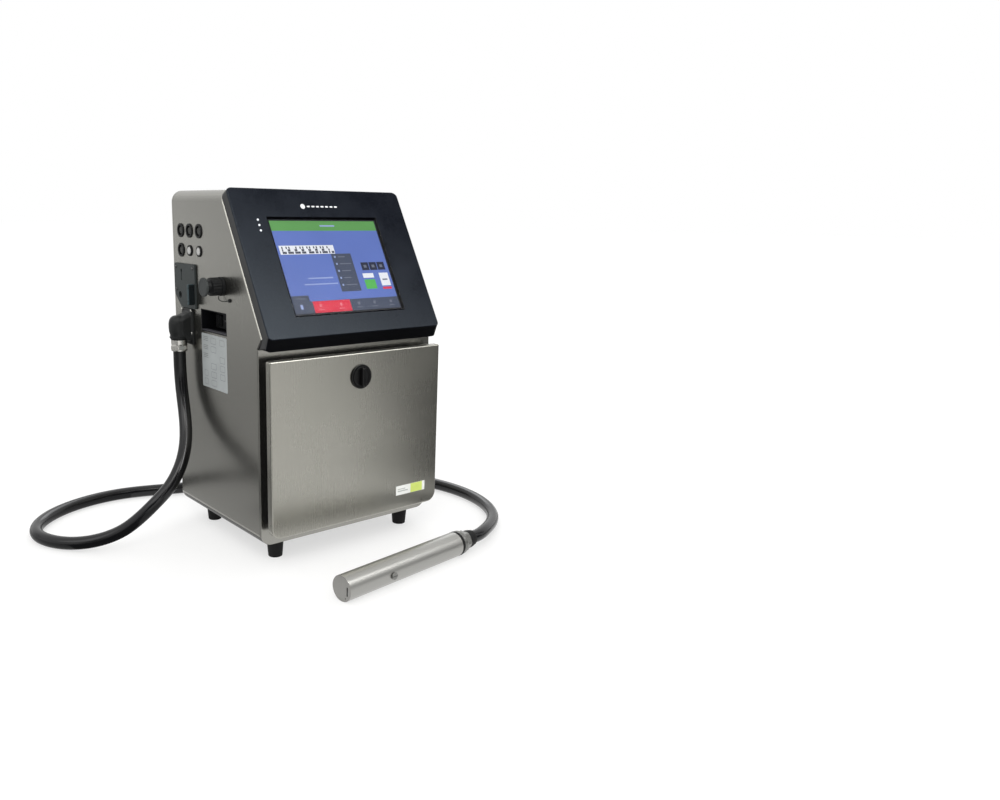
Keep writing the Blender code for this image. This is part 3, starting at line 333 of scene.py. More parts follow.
def lit_ink(name, colour, strength=1.0):
    """A lit patch of the display, with a trace of its pixel grid."""
    tree, shader = shader_tree(name, [c * 0.2 for c in colour], 0.35, 0.0, Emission_Strength=strength,
                               Specular_IOR_Level=0.15)
    grid = stretched_noise(tree, (2600.0, 2600.0, 1.0), 0.0)
    fade = stretched_noise(tree, (9.0, 9.0, 1.0), 1.0)
    both = combined(tree, "MULTIPLY", spread_to(tree, grid, 0.97, 1.03), spread_to(tree, fade, 0.93, 1.05))
    black = (0.0, 0.0, 0.0, 1.0)
    mix = node(tree, "ShaderNodeMix", {"Factor": both, 6: black, 7: (*colour, 1.0)}, data_type="RGBA",
               clamp_factor=False)
    tree.links.new(mix.outputs[2], shader.inputs["Emission Color"])


def make_materials():
    upright, lengthways = (0, 0, 1), (1, 0, 0)
    brushed("cabinet_steel", (0.295, 0.291, 0.267), 0.25, upright)
    brushed("door_steel", (0.335, 0.329, 0.294), 0.27, upright)
    brushed("roof_steel", (0.33, 0.325, 0.3), 0.32, lengthways)
    brushed("inner_steel", (0.42, 0.41, 0.39), 0.32, lengthways)
    # a darker copy of the stainless for faces turned down: painted shade
    brushed("underside_shade_steel", (0.09, 0.09, 0.086), 0.45, lengthways)
    brushed("head_steel", (0.345, 0.342, 0.325), 0.38, lengthways, 0.02)
    brushed("nose_steel", (0.262, 0.258, 0.245), 0.38, upright, 0.04)
    for name, colour, roughness in (
            ("machined_steel", (0.48, 0.47, 0.45), 0.28), ("plated_steel", (0.6, 0.59, 0.56), 0.2),
            ("turned_steel", (0.21, 0.21, 0.2), 0.36), ("dark_steel", (0.14, 0.14, 0.14), 0.38),
            ("aluminium", (0.44, 0.445, 0.45), 0.36), ("brass", (0.58, 0.43, 0.18), 0.28)):
        bright_metal(name, colour, roughness)
    moulded("bezel_black", (0.0028, 0.0036, 0.0078), 0.28, 1400.0, 0.03, Specular_IOR_Level=0.19,
            Specular_Tint=(0.78, 0.91, 1.0, 1.0))
    # the bezel's side faces: a rougher finish, and a lighter grey that is painted light from the left
    moulded("bezel_lit_side", (0.034, 0.035, 0.036), 0.55, 1200.0, 0.08, Specular_IOR_Level=0.25)
    # the bezel's downward chin: a darker, duller copy of the bezel plastic, painted shade
    moulded("chin_shade_black", (0.0012, 0.0014, 0.0022), 0.5, 1200.0, 0.05, Specular_IOR_Level=0.04)
    for name, colour, roughness in (
            ("black_plastic", (0.0075, 0.008, 0.0085), 0.4), ("knob_black", (0.003, 0.003, 0.0032), 0.32),
            ("dark_cavity", (0.001, 0.001, 0.0015), 0.6), ("recess_plastic", (0.0012, 0.0013, 0.0028), 0.6),
            # the sill's grey is painted light on the floor of the power recess
            ("sill_grey", (0.07, 0.07, 0.08), 0.5), ("grey_plastic", (0.033, 0.039, 0.039), 0.5),
            # the block edge tone is a painted highlight on the interlock block's outer and top faces
            ("block_plastic", (0.004, 0.007, 0.0085), 0.4), ("block_lit_face", (0.03, 0.048, 0.054), 0.45),
            ("socket_grey", (0.055, 0.056, 0.052), 0.5), ("socket_cap", (0.42, 0.42, 0.41), 0.4),
            ("disc_grey", (0.036, 0.04, 0.04), 0.5), ("lcd_frame", (0.015, 0.017, 0.022), 0.45)):
        moulded(name, colour, roughness, Specular_IOR_Level=0.2)
    moulded("black_rubber", (0.005, 0.005, 0.0052), 0.65, 600.0, 0.25, Specular_IOR_Level=0.2)
    moulded("gasket_rubber", (0.007, 0.0075, 0.0075), 0.6, 700.0, 0.25, Specular_IOR_Level=0.2)
    moulded("hood_rubber", (0.0055, 0.0065, 0.0065), 0.42, 500.0, 0.12, Specular_IOR_Level=0.3)
    moulded("hose_rubber", (0.0022, 0.0023, 0.003), 0.18, 420.0, 0.012, Specular_IOR_Level=0.42)
    for name, colour, roughness in (
            ("label_silver", (0.29, 0.31, 0.312), 0.45), ("label_print", (0.15, 0.16, 0.16), 0.5),
            ("sticker_white", (0.82, 0.83, 0.8), 0.5), ("sticker_green", (0.62, 0.74, 0.16), 0.5),
            ("sticker_grey", (0.45, 0.47, 0.45), 0.5)):
        moulded(name, colour, roughness, 300.0, 0.03)
    moulded("mark_white", (0.8, 0.81, 0.82), 0.4, 500.0, 0.03)
    moulded("ink_tank", (0.012, 0.012, 0.015), 0.34, 700.0, 0.1)
    moulded("makeup_tank", (0.7, 0.73, 0.72), 0.34, 700.0, 0.06, Subsurface_Weight=0.15)
    moulded("blue_cap", (0.02, 0.09, 0.33), 0.36)
    moulded("tubing", (0.62, 0.66, 0.66), 0.22, 200.0, 0.03, Coat_Weight=0.4, Coat_Roughness=0.1)
    moulded("solder_mask", (0.01, 0.085, 0.035), 0.38, 260.0, 0.1, Coat_Weight=0.3, Coat_Roughness=0.2)
    shader_tree("screen_glass", (0.006, 0.006, 0.009), 0.08, 0.0, Alpha=0.1, Specular_IOR_Level=0.3)
    for name, colour in (
            ("blue", (0.12, 0.185, 0.52)), ("green", (0.115, 0.33, 0.095)), ("slate", (0.065, 0.08, 0.125)),
            ("red", (0.72, 0.04, 0.075)), ("white", (0.82, 0.84, 0.9)), ("pale", (0.32, 0.4, 0.68)),
            ("dark", (0.026, 0.031, 0.058)), ("lime", (0.1, 0.46, 0.1)), ("dim", (0.15, 0.17, 0.23)),
            ("pink", (0.78, 0.2, 0.25))):
        lit_ink(f"ink_{name}", colour)
    lit_ink("lamp_white", (0.85, 0.88, 0.92), 1.1)


# The slot named for each finish, which piece() looks up unless the piece names one itself; labels have none
SLOTS = {"stainless": "cabinet_steel door_steel", "machined_steel": "machined_steel",
         "plated_steel": "plated_steel dark_steel turned_steel brass", "black_rubber": "black_rubber gasket_rubber",
         "black_plastic": "bezel_black knob_black black_plastic block_plastic recess_plastic hood_rubber dark_cavity",
         "grey_plastic": "grey_plastic socket_grey socket_cap disc_grey sill_grey"}
SLOT_OF = {finish: slot for slot, finishes in SLOTS.items() for finish in finishes.split()}


# ---------------------------------------------------------------- shape tools
def gather(*shapes):
    """Several bmeshes as one."""
    whole = bmesh.new()
    for shape in shapes:
        mesh = bpy.data.meshes.new("scratch")
        shape.to_mesh(mesh)
        shape.free()
        whole.from_mesh(mesh)
        bpy.data.meshes.remove(mesh)
    return whole


def box(x, y, z, chamfer=0.0, steps=2):
    """A block from pairs of limits along each axis, its edges rounded where a chamfer is given."""
    shape = bmesh.new()
    bmesh.ops.create_cube(shape, size=1.0)
    low = Vector((x[0], y[0], z[0]))
    size = Vector((x[1], y[1], z[1])) - low
    for vert in shape.verts:
        vert.co = low + Vector([(c + 0.5) * s for c, s in zip(vert.co, size)])
    if chamfer:
        bmesh.ops.bevel(shape, geom=shape.edges[:], offset=chamfer, segments=steps, profile=0.5, affect="EDGES")
    return shape


def stack(loops, ring=False):
    """Skin a list of equal loops of points; the ends are capped, or joined into a ring."""
    shape = bmesh.new()
    rows = [[shape.verts.new(point) for point in loop] for loop in loops]
    count = len(rows[0])
    for below, above in list(zip(rows, rows[1:])) + ([(rows[-1], rows[0])] if ring else []):
        for i in range(count):
            j = (i + 1) % count
            shape.faces.new((below[i], below[j], above[j], above[i]))
    if not ring:
        shape.faces.new(rows[0])
        shape.faces.new(rows[-1])
    return shape


def quarter_round(steps, r):
    """A quarter-round edge of radius r in equal steps, as pairs: how far in, and how far back."""
    return [(r * (1 - cos(t)), r * (1 - sin(t))) for t in [radians(90 / steps * i) for i in range(steps + 1)]]


def at_x(outline, x):
    return [(x, y, z) for y, z in outline]


def at_y(outline, y):
    return [(x, y, z) for x, z in outline]


def at_z(outline, z):
    return [(x, y, z) for x, y in outline]


def prism(outline, at, start, end):
    """Extrude an outline of pairs along the axis of at_x, at_y or at_z."""
    return stack([at(outline, start), at(outline, end)])


def turned(profile, place, along=UP, segments=48, ring=False):
    """Turn a profile of (radius, height) pairs about an axis; a third entry is a function that shapes that loop."""
    aim = Matrix.Translation(place) @ Vector(along).to_track_quat("Z", "Y").to_matrix().to_4x4()
    angles = [2 * pi * (i + 0.5) / segments for i in range(segments)]
    loops = []
    for r, h, *shaped in profile:
        radii = [r * shaped[0](a) if shaped else r for a in angles]
        loops.append([aim @ Vector((k * cos(a), k * sin(a), h)) for k, a in zip(radii, angles)])
    return stack(loops, ring)


def rod(r, start, end, segments=24):
    along = Vector(end) - Vector(start)
    return turned([(r, 0.0), (r, along.length)], start, along, segments)


def hexagon(angle):
    """Radius factor that turns a circle into a hexagon of the same corner radius."""
    sector = pi / 3
    return cos(sector / 2) / cos(angle % sector - sector / 2)


def ribbed(count, depth):
    """Radius factor of a gripped rim with `count` ribs."""
    return lambda angle: 1.0 - depth * (0.5 + 0.5 * cos(count * angle)) ** 2


def rounded(x, z, radii, steps, inset=0.0):
    """A rectangle of points; radii run bottom right, top right, top left, bottom left."""
    radii = [radii] * 4 if isinstance(radii, float) else radii
    centres = [(x[1], z[0], -90, -1, 1), (x[1], z[1], 0, -1, -1), (x[0], z[1], 90, 1, -1), (x[0], z[0], 180, 1, 1)]
    points = []
    for (cx, cz, start, sx, sz), corner in zip(centres, radii):
        r = max(corner - inset, 0.0002)
        for i in range(steps + 1):
            angle = radians(start + 90 * i / steps)
            points.append((cx + sx * (inset + r) + r * cos(angle), cz + sz * (inset + r) + r * sin(angle)))
    return points


def smooth_curve(points, count):
    """Evenly spaced points on the natural cubic spline through a list of points."""
    points = np.array(points, dtype=float)
    knots = np.concatenate([[0.0], np.cumsum(np.linalg.norm(np.diff(points, axis=0), axis=1))])
    last = len(knots) - 1
    step = np.diff(knots)
    system = np.eye(last + 1)
    load = np.zeros_like(points)
    for i in range(1, last):
        system[i, i - 1:i + 2] = (step[i - 1], 2 * (step[i - 1] + step[i]), step[i])
        load[i] = 6 * ((points[i + 1] - points[i]) / step[i] - (points[i] - points[i - 1]) / step[i - 1])
    bend = np.linalg.solve(system, load)

    def spot(t):
        i = min(max(int(np.searchsorted(knots, t)) - 1, 0), last - 1)
        a, b, h = knots[i + 1] - t, t - knots[i], step[i]
        return ((bend[i] * a ** 3 + bend[i + 1] * b ** 3) / (6 * h)
                + (points[i] / h - bend[i] * h / 6) * a + (points[i + 1] / h - bend[i + 1] * h / 6) * b)
    fine = np.array([spot(t) for t in np.linspace(0.0, knots[-1], 40 * last)])
    run = np.concatenate([[0.0], np.cumsum(np.linalg.norm(np.diff(fine, axis=0), axis=1))])
    even = np.linspace(0.0, run[-1], count)
    return np.stack([np.interp(even, run, fine[:, k]) for k in range(3)], axis=1)


def tube(route, r, count, segments):
    """A capped tube along a smooth route."""
    spots = [Vector(p) for p in smooth_curve(route, count)]
    side = (spots[1] - spots[0]).orthogonal().normalized()
    loops = []
    for i, spot in enumerate(spots):
        ahead = (spots[min(i + 1, count - 1)] - spots[max(i - 1, 0)]).normalized()
        side = (side - side.dot(ahead) * ahead).normalized()
        other = ahead.cross(side)
        loops.append([spot + r * (cos(a) * side + sin(a) * other)
                      for a in [2 * pi * k / segments for k in range(segments)]])
    return stack(loops)


def as_object(name, shape):
    bmesh.ops.recalc_face_normals(shape, faces=shape.faces)
    mesh = bpy.data.meshes.new(name)
    shape.to_mesh(mesh)
    shape.free()
    return linked(name, mesh)


def formed(shape, joins=(), cuts=(), blend=0.0):
    """A shape with others joined on, then cut out; with `blend`, the voxel size, its joints melt into fillets."""
    made = as_object("form", shape)
    tools = []
    for operation, others in (("UNION", joins), ("DIFFERENCE", cuts)):
        for other in others:
            tools.append(as_object("tool", other))
            boolean = made.modifiers.new("form", "BOOLEAN")
            boolean.operation = operation
            boolean.object = tools[-1]
    if blend:
        remesh = made.modifiers.new("melt", "REMESH")
        remesh.mode = "VOXEL"
        remesh.voxel_size = blend
        relax = made.modifiers.new("relax", "SMOOTH")
        relax.factor = 0.5
        relax.iterations = 10
    result = bmesh.new()
    result.from_object(made, bpy.context.evaluated_depsgraph_get())
    for stale in [made] + tools:
        mesh = stale.data
        bpy.data.objects.remove(stale)
        bpy.data.meshes.remove(mesh)
    return result


SHARP = radians(32)                              # edges that turn more than this are rounded, or kept sharp


def ease_edges(shown, soften, steps=2):
    """Round the sharp edges, then weight the normals so that flat faces stay flat."""
    if soften:
        bevel = shown.modifiers.new("rounded_edges", "BEVEL")
        bevel.width = soften
        bevel.segments = steps
        bevel.limit_method = "ANGLE"
        bevel.angle_limit = SHARP
    weighted = shown.modifiers.new("flat_faces", "WEIGHTED_NORMAL")
    weighted.keep_sharp = not soften


def piece(name, shape, finish, body="cabinet", place=CABINET, stands_for=None, slot=None, soften=0.0, steps=2,
          others=()):
    """A named piece from a bmesh, riding on a body. `others` are more finishes, each with a test for its faces."""
    made = as_object(name, shape)
    made.matrix_world = place
    mesh = made.data
    mesh.materials.append(SHADERS[finish])
    mesh.shade_smooth()
    if not soften:
        mesh.set_sharp_from_angle(angle=SHARP)
    for i, (other, belongs) in enumerate(others):
        mesh.materials.append(SHADERS[other])
        for face in mesh.polygons:
            if belongs(face):
                face.material_index = i + 1
    ease_edges(made, soften, steps)
    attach(made, body)
    if stands_for:
        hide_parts(stands_for)
    slot = slot or SLOT_OF.get(finish)


def dress(names, finish, soften=0.0003):
    """Give CAD nodes their material, with their edges rounded."""
    for name in names.split():
        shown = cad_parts[name]
        shown.data.materials.clear()
        shown.data.materials.append(SHADERS[finish])
        weld = shown.modifiers.new("joined_corners", "WELD")
        weld.merge_threshold = 0.00001
        ease_edges(shown, soften)


def screws(name, spots, along, r, finish="plated_steel"):
    """Low domed screw heads with a hexagon socket, as one piece."""
    h = 0.7 * r
    profile = [(0.96 * r, -0.0002), (r, 0.15 * h), (0.95 * r, 0.55 * h), (0.8 * r, 0.85 * h), (0.56 * r, h),
               (0.5 * r, h, hexagon), (0.48 * r, 0.35 * h, hexagon)]
    piece(name, gather(*[turned(profile, spot, along, 24) for spot in spots]), finish)


# ---------------------------------------------------------------- umbilical hose, the one free cord
def make_hose():
    curve = bpy.data.curves.new("hose_line", "CURVE")
    curve.dimensions = "3D"
    curve.bevel_depth = HOSE_R
    curve.bevel_resolution = 10
    curve.use_fill_caps = True
    line = curve.splines.new("POLY")
    spots = smooth_curve(HOSE_ROUTE, 300)
    line.points.add(len(spots) - 1)
    for point, spot in zip(line.points, spots):
        point.co = (*spot, 1.0)
    curve.materials.append(SHADERS["hose_rubber"])
    hose = linked("hose_line", curve)
    hose.matrix_world = CABINET
    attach(hose, "cabinet")
    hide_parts("umbilical_hose")


# ---------------------------------------------------------------- cabinet
FRAME_BACK_Y = FRONT_Y + SHEET + GAP
WRAP_REAR_Y = REAR_Y - 0.008 - GAP
BEND_STEPS = 14


def front_edge(z):
    """Where the side sheets end: upright beside the door, out to the nose, back up the slope."""
    out = Vector((0.0, -cos(TILT), sin(TILT)))
    behind = PANEL_CENTRE - (PANEL_THICK + GAP) * out
    if z >= NOSE_Z:
        return behind.y + (z - behind.z) * tan(TILT)
    if z <= RAIL_TOP_Z:
        return FRAME_BACK_Y
    share = (z - RAIL_TOP_Z) / (NOSE_Z - RAIL_TOP_Z)
    return FRAME_BACK_Y + share * (front_edge(NOSE_Z) - FRAME_BACK_Y)


def cabinet_rectangle(inset):
    return rounded((-HALF_WIDTH, HALF_WIDTH), (BASE_Z, TOP_Z), CORNER_R, BEND_STEPS, inset)


def cabinet_outline(inset=0.0):
    """Front view of the cabinet, with a point on each side at the rail and at the nose."""
    corners = cabinet_rectangle(inset)
    turn = BEND_STEPS + 1
    x = HALF_WIDTH - inset
    return (corners[:turn] + [(x, RAIL_TOP_Z), (x, NOSE_Z)] + corners[turn:3 * turn]
            + [(-x, NOSE_Z), (-x, RAIL_TOP_Z)] + corners[3 * turn:])


def side_hole(r, y, z):
    return rod(r, (SIDE_X - 0.01, y, z), (SIDE_X + 0.01, y, z))


def make_cabinet():
    """Wrap-round sheet, its front edge rolled over at the operator panel, and the vented rear panel."""
    roll = 0.003
    outer, inner = cabinet_outline(), cabinet_outline(roll + 0.0004)
    front = [front_edge(z) for x, z in outer]
    loops = []
    for inset, back in quarter_round(6, roll):
        loops.append([(x, y + back, z) for (x, z), y in zip(cabinet_outline(inset), front)])
    behind = cabinet_outline(SHEET)
    loops += [[(x, y, z) for (x, z), y in zip(inner, front)],
              [(x, y + roll, z) for (x, z), y in zip(behind, front)],
              at_y(behind, WRAP_REAR_Y), at_y(outer, WRAP_REAR_Y)]
    holes = [side_hole(0.01 * size, y, z) for y, z, size in SOCKETS]
    holes += [rod(0.011, SERVICE_PORT + 0.01 * LEFT, SERVICE_PORT - 0.01 * LEFT), side_hole(0.014, 0.106, 0.37),
              box((SIDE_X - 0.01, SIDE_X + 0.01), RECESS_Y, RECESS_Z)]
    skin = formed(stack(loops, ring=True), cuts=[gather(*holes)])
    # Faces turned up take the roof's grain; faces turned down take a darker copy of the steel, painted shade.
    piece("cabinet_skin", skin, "cabinet_steel", stands_for="cabinet_wrapper", soften=0.0003,
          others=[("roof_steel", lambda face: face.normal.z > 0.5),
                  ("underside_shade_steel", lambda face: face.normal.z < -0.25)])

    def pan(inset, y):
        return at_y(cabinet_rectangle(inset), y)
    fold = 0.0045
    loops = [pan(0.0, REAR_Y - 0.008)]
    loops += [pan(inset, REAR_Y - back) for inset, back in quarter_round(5, fold)]
    loops += [pan(fold, REAR_Y - SHEET), pan(SHEET, REAR_Y - 0.0045), pan(SHEET, REAR_Y - 0.008)]
    back = stack(loops, ring=True)
    sheet = prism(cabinet_rectangle(fold - 0.0005), at_y, REAR_Y - SHEET, REAR_Y)
    slots, pitch, reach = [], 0.009, 0.04
    for i in range(-4, 5):
        x = FAN.x + pitch * i
        half = sqrt(reach ** 2 - (pitch * i) ** 2)
        slots.append(rounded((x - 0.0025, x + 0.0025), (FAN.z - half, FAN.z + half), 0.0024, 4))
    for i in range(10):
        x = -0.09 + 0.02 * i
        slots.append(rounded((x - 0.003, x + 0.003), (0.375, 0.415), 0.0029, 4))
    slots = [prism(slot, at_y, REAR_Y - 0.01, REAR_Y + 0.01) for slot in slots]
    back = formed(back, joins=[sheet], cuts=[gather(*slots)])
    piece("rear_skin", back, "cabinet_steel", stands_for="rear_panel")
    spots = [(x, REAR_Y, z) for x in (-0.16, 0.16) for z in (0.06, 0.195, 0.33, 0.465, 0.578)]
    spots += [(x, REAR_Y, z) for x in (-0.055, 0.055) for z in (0.05, 0.582)]
    screws("rear_panel_screws", spots, -OUT, 0.0042)
    screws("fan_screws", [(FAN.x + sx * 0.041, REAR_Y, FAN.z + sz * 0.041) for sx in (-1, 1) for sz in (-1, 1)],
           -OUT, 0.0036)


def make_front_frame():
    corners = [CORNER_R, 0.001, 0.001, CORNER_R]
    x, z = (-0.152, 0.152), (0.058, 0.33)
    back_y, lip_y, roll = FRONT_Y + SHEET, FRONT_Y + 0.0135, 0.0025

    def face(inset, y):
        return at_y(rounded((-HALF_WIDTH, HALF_WIDTH), (BASE_Z, RAIL_TOP_Z), corners, BEND_STEPS, inset), y)

    def hole(inset, y):
        return at_y(rounded(x, z, 0.008, BEND_STEPS, inset), y)
    loops = [face(0.0, back_y), face(0.0, FRONT_Y + 0.0008), face(0.0003, FRONT_Y + 0.0002), face(0.0009, FRONT_Y),
             hole(-roll, FRONT_Y), hole(-0.0012, FRONT_Y + 0.0004), hole(-0.0003, FRONT_Y + 0.0013),
             hole(0.0, FRONT_Y + roll), hole(0.0, lip_y), hole(-SHEET, lip_y), hole(-SHEET, back_y)]
    piece("front_frame_sheet", stack(loops, ring=True), "cabinet_steel", stands_for="front_frame")


def make_feet():
    """Tapered rubber feet with a grip ring at the sole and a washer under the cabinet."""
    profile = [(0.006, 0.0028), (0.007, 0.0002), (0.011, 0.0), (0.0119, 0.0006), (0.0121, 0.0022), (0.0117, 0.003),
               (0.0122, 0.0036), (0.0141, 0.0265), (0.014, 0.028), (0.0136, 0.029)]
    for end, y in (("front", -0.108), ("rear", 0.111)):
        for side, x in (("left", -0.134), ("right", 0.134)):
            piece(f"rubber_foot_{end}_{side}", turned(profile, (x, y, 0.0)), "black_rubber",
                  stands_for=f"foot_{end}_{side}")
            washer = turned([(0.013, 0.029), (0.0142, 0.0293), (0.0142, 0.0312), (0.0138, BASE_Z - GAP)], (x, y, 0.0))
            piece(f"foot_washer_{end}_{side}", washer, "plated_steel")


# ---------------------------------------------------------------- operator panel
LAMP_X = -0.131
LAMPS_Y = (0.075, 0.0655, 0.056)


def make_bezel():
    """Thick sloping frame, lofted side to side: rounded corners, eased face and a chin."""
    half, top_r, low_r, ease = PANEL_HALF_WIDTH, 0.012, 0.009, 0.003
    stations = {half - back for _, back in quarter_round(6, ease)}
    for r in (top_r, low_r):
        stations |= {half - r + r * sin(radians(6 * i)) for i in range(16)}
    stations = sorted(stations)
    stations = [-x for x in reversed(stations)] + stations

    def fall(x, r):
        beyond = max(0.0, abs(x) - (half - r))
        return r - sqrt(max(0.0, r * r - beyond * beyond))

    def section(x):
        top = PANEL_TOP - fall(x, top_r)
        low = fall(x, low_r) - PANEL_HALF_LENGTH
        beyond = max(0.0, abs(x) - half + ease) / ease
        face = -ease * (1 - sqrt(max(0.0, 1 - beyond ** 2)))
        arc = [(sin(radians(18 * i)), 1 - cos(radians(18 * i))) for i in range(1, 6)]
        eased = [(top - ease + ease * s, face - (ease + face) * c) for s, c in arc]
        chin = [(low + ease - ease * s, face - (ease + face) * c) for s, c in arc]
        outline = list(reversed(chin)) + [(low + ease, face), (top - ease, face)] + eased
        outline += [(top, -PANEL_THICK), (-0.1219, -PANEL_THICK), (-PANEL_HALF_LENGTH - 0.0006, -0.0334),
                    (low - 0.012, -0.0177)]
        return [(x, y, z) for y, z in outline]
    cx, cy, hx, hy = WINDOW
    cuts = [box((cx - hx, cx + hx), (cy - hy, cy + hy), (-0.05, 0.01))]
    cuts += [rod(0.0021, (LAMP_X, y, -0.05), (LAMP_X, y, 0.01)) for y in LAMPS_Y]
    shell = formed(stack([section(x) for x in stations]), cuts=cuts)
    piece("bezel_shell", shell, "bezel_black", place=PANEL, stands_for="hmi_bezel",
          # the side faces are rougher, and lighter grey as painted light from the left
          soften=0.0004, others=[("bezel_lit_side", lambda face: abs(face.normal.x) > 0.8),
                                 # the downward chin faces are darker and duller: painted shade
                                 ("chin_shade_black", lambda face: face.normal.y < -0.5)])


def tile(layer, u, v):
    """A thin patch on the display, from fractions of its width and height; v runs down."""
    left, right, top, low = -0.11, 0.102, 0.0745, -0.0896
    front = -0.0029 + 0.00009 * layer
    return box((left + u[0] * (right - left), left + u[1] * (right - left)),
               (top + v[1] * (low - top), top + v[0] * (low - top)), (front, front + 0.00008))


def make_display():
    """Status screen of plain blocks, bars and dots, and a row of marks above it: no letters, no figures."""
    patches = {
        "blue": [(1, 0, 1, 0.1, 0.9)],
        "green": [(2, 0, 1, 0, 0.11)],
        "lime": [(3, 0.722, 0.828, 0.67, 0.775)],
        "slate": [(2, 0, 1, 0.875, 1), (2, 0, 0.155, 0.81, 0.88), (2, 0.475, 0.665, 0.37, 0.79)],
        "dark": [(2, 0.735, 0.808, 0.475, 0.565), (2, 0.815, 0.888, 0.475, 0.565), (2, 0.895, 0.968, 0.475, 0.565)],
        "red": [(3, 0.175, 0.52, 0.878, 1), (3, 0.885, 0.975, 0.76, 0.785)],
        "white": [(3, 0.722, 0.828, 0.6, 0.65), (3, 0.885, 0.975, 0.6, 0.745), (2, 0.02, 0.52, 0.272, 0.368)],
        "pale": [(2, 0.2, 0.43, 0.625, 0.638), (2, 0.15, 0.46, 0.69, 0.702), (3, 0.45, 0.59, 0.047, 0.063)],
        "dim": [], "pink": [],
    }
    for row in range(5):
        v = 0.405 + 0.078 * row
        patches["dim"].append((3, 0.535, 0.6 + 0.02 * (row * 2 % 3), v - 0.005, v + 0.005))
        patches["pale"].append((3, 0.498, 0.512, v - 0.01, v + 0.01))
    for i in range(3):
        patches["dim"].append((3, 0.758 + 0.08 * i, 0.785 + 0.08 * i, 0.505, 0.535))
    for u in (0.24, 0.43, 0.6, 0.755, 0.92):
        ink = "pink" if u < 0.5 else "dim"
        patches[ink] += [(4, u - 0.011, u + 0.011, 0.908, 0.938), (4, u - 0.026, u + 0.026, 0.962, 0.971)]
    patches["pale"].append((4, 0.058, 0.08, 0.905, 0.955))
    patches["dim"] += [(4, 0.03, 0.12, 0.838, 0.848), (4, 0.905, 0.955, 0.668, 0.684)]
    step = 0.0125
    for i in range(38):
        for j in range(3):
            if (i * 7 + j * 5 + i * i * (j + 1)) % 5 < 2 and i % 9 != 8:
                u, v = 0.04 + step * i, 0.284 + 0.027 * j
                patches["dark"].append((4, u, u + step * 0.9, v, v + 0.0235))
    for name, rows in patches.items():
        shapes = [tile(layer, (u0, u1), (v0, v1)) for layer, u0, u1, v0, v1 in rows]
        piece(f"screen_{name}", gather(*shapes), f"ink_{name}", place=PANEL, slot="display")
    mark = [turned([(0.0044, 0.0), (0.0044, 0.0002), (0.0041, 0.00025)], (-0.0385, 0.1, 0.0), segments=32)]
    mark += [prism(rounded((x, x + 0.0062), (0.0987, 0.1013), 0.00125, 5), at_z, 0.0, 0.00022)
             for x in [-0.0305 + 0.0092 * i for i in range(7)]]
    piece("panel_mark", gather(*mark), "mark_white", place=PANEL, slot="lamp")


# ---------------------------------------------------------------- door and latch
def make_door():
    """Folded pan with a 3 mm bend along each edge and closed corners, and the seal behind it."""
    corners = [0.018, 0.0035, 0.0035, 0.018]
    x, fold = (-DOOR_HALF_WIDTH, DOOR_HALF_WIDTH), 0.003

    def ring(inset, y):
        return at_y(rounded(x, DOOR_Z, corners, 10, inset), y)
    loops = [ring(fold, DOOR_Y + SHEET), ring(SHEET, DOOR_Y + fold + 0.0005), ring(SHEET, DOOR_RIM_Y),
             ring(0.0006, DOOR_RIM_Y), ring(0.0, DOOR_RIM_Y - 0.0006)]
    loops += [ring(inset, DOOR_Y + back) for inset, back in quarter_round(6, fold)]
    hole = rod(0.0165, (LATCH.x, DOOR_Y - 0.01, LATCH.z), (LATCH.x, DOOR_Y + 0.01, LATCH.z), 48)
    sheet = formed(stack(loops), cuts=[hole])
    piece("door_sheet", sheet, "door_steel", "door", stands_for="door_panel", soften=0.0003)

    near, far = DOOR_Y + SHEET + GAP, FRONT_Y - GAP
    depth = far - near
    outside = [(0.0, 0.0), (0.0, 0.3), (0.0018, 0.36), (0.0018, 0.44), (0.0, 0.5), (0.0, 0.8), (0.0012, 0.93),
               (0.0035, 1.0)]
    inside = [(0.0085, 1.0), (0.0108, 0.93), (0.012, 0.8), (0.012, 0.0)]
    loops = [at_y(rounded((-0.163, 0.163), (0.062, 0.334), 0.012, 8, inset), near + share * depth)
             for inset, share in outside + inside]
    piece("door_seal", stack(loops, ring=True), "gasket_rubber", "door", stands_for="door_gasket")


def make_hinges():
    for name, z in (("upper", 0.29), ("lower", 0.084)):
        spot = Vector((0.1685, -0.143, 0.0))
        pin = turned([(0.004, z), (0.0043, z + 0.0004), (0.0043, z + 0.0097), (0.004, z + 0.01), (0.002, z + 0.01),
                      (0.002, z + 0.029), (0.0016, z + 0.0295)], spot)
        foot = box((0.165, 0.1728), (spot.y + 0.0015, FRONT_Y - GAP), (z - 0.004, z + 0.0098), 0.0006)
        piece(f"hinge_pin_{name}", formed(pin, joins=[foot]), "machined_steel",
              stands_for=f"hinge_bracket_{name}", soften=0.0002)
        barrel = turned([(0.0023, z + 0.0103), (0.0041, z + 0.0103), (0.0043, z + 0.0106), (0.0043, z + 0.0297),
                         (0.0041, z + 0.03), (0.0023, z + 0.03)], spot, ring=True)
        arm = box((0.1662, 0.1707), (-0.162, spot.y - 0.003), (z + 0.0108, z + 0.0295), 0.0005)
        piece(f"hinge_barrel_{name}", formed(barrel, joins=[arm]), "machined_steel", "door",
              stands_for=f"hinge_knuckle_{name}", soften=0.0002)


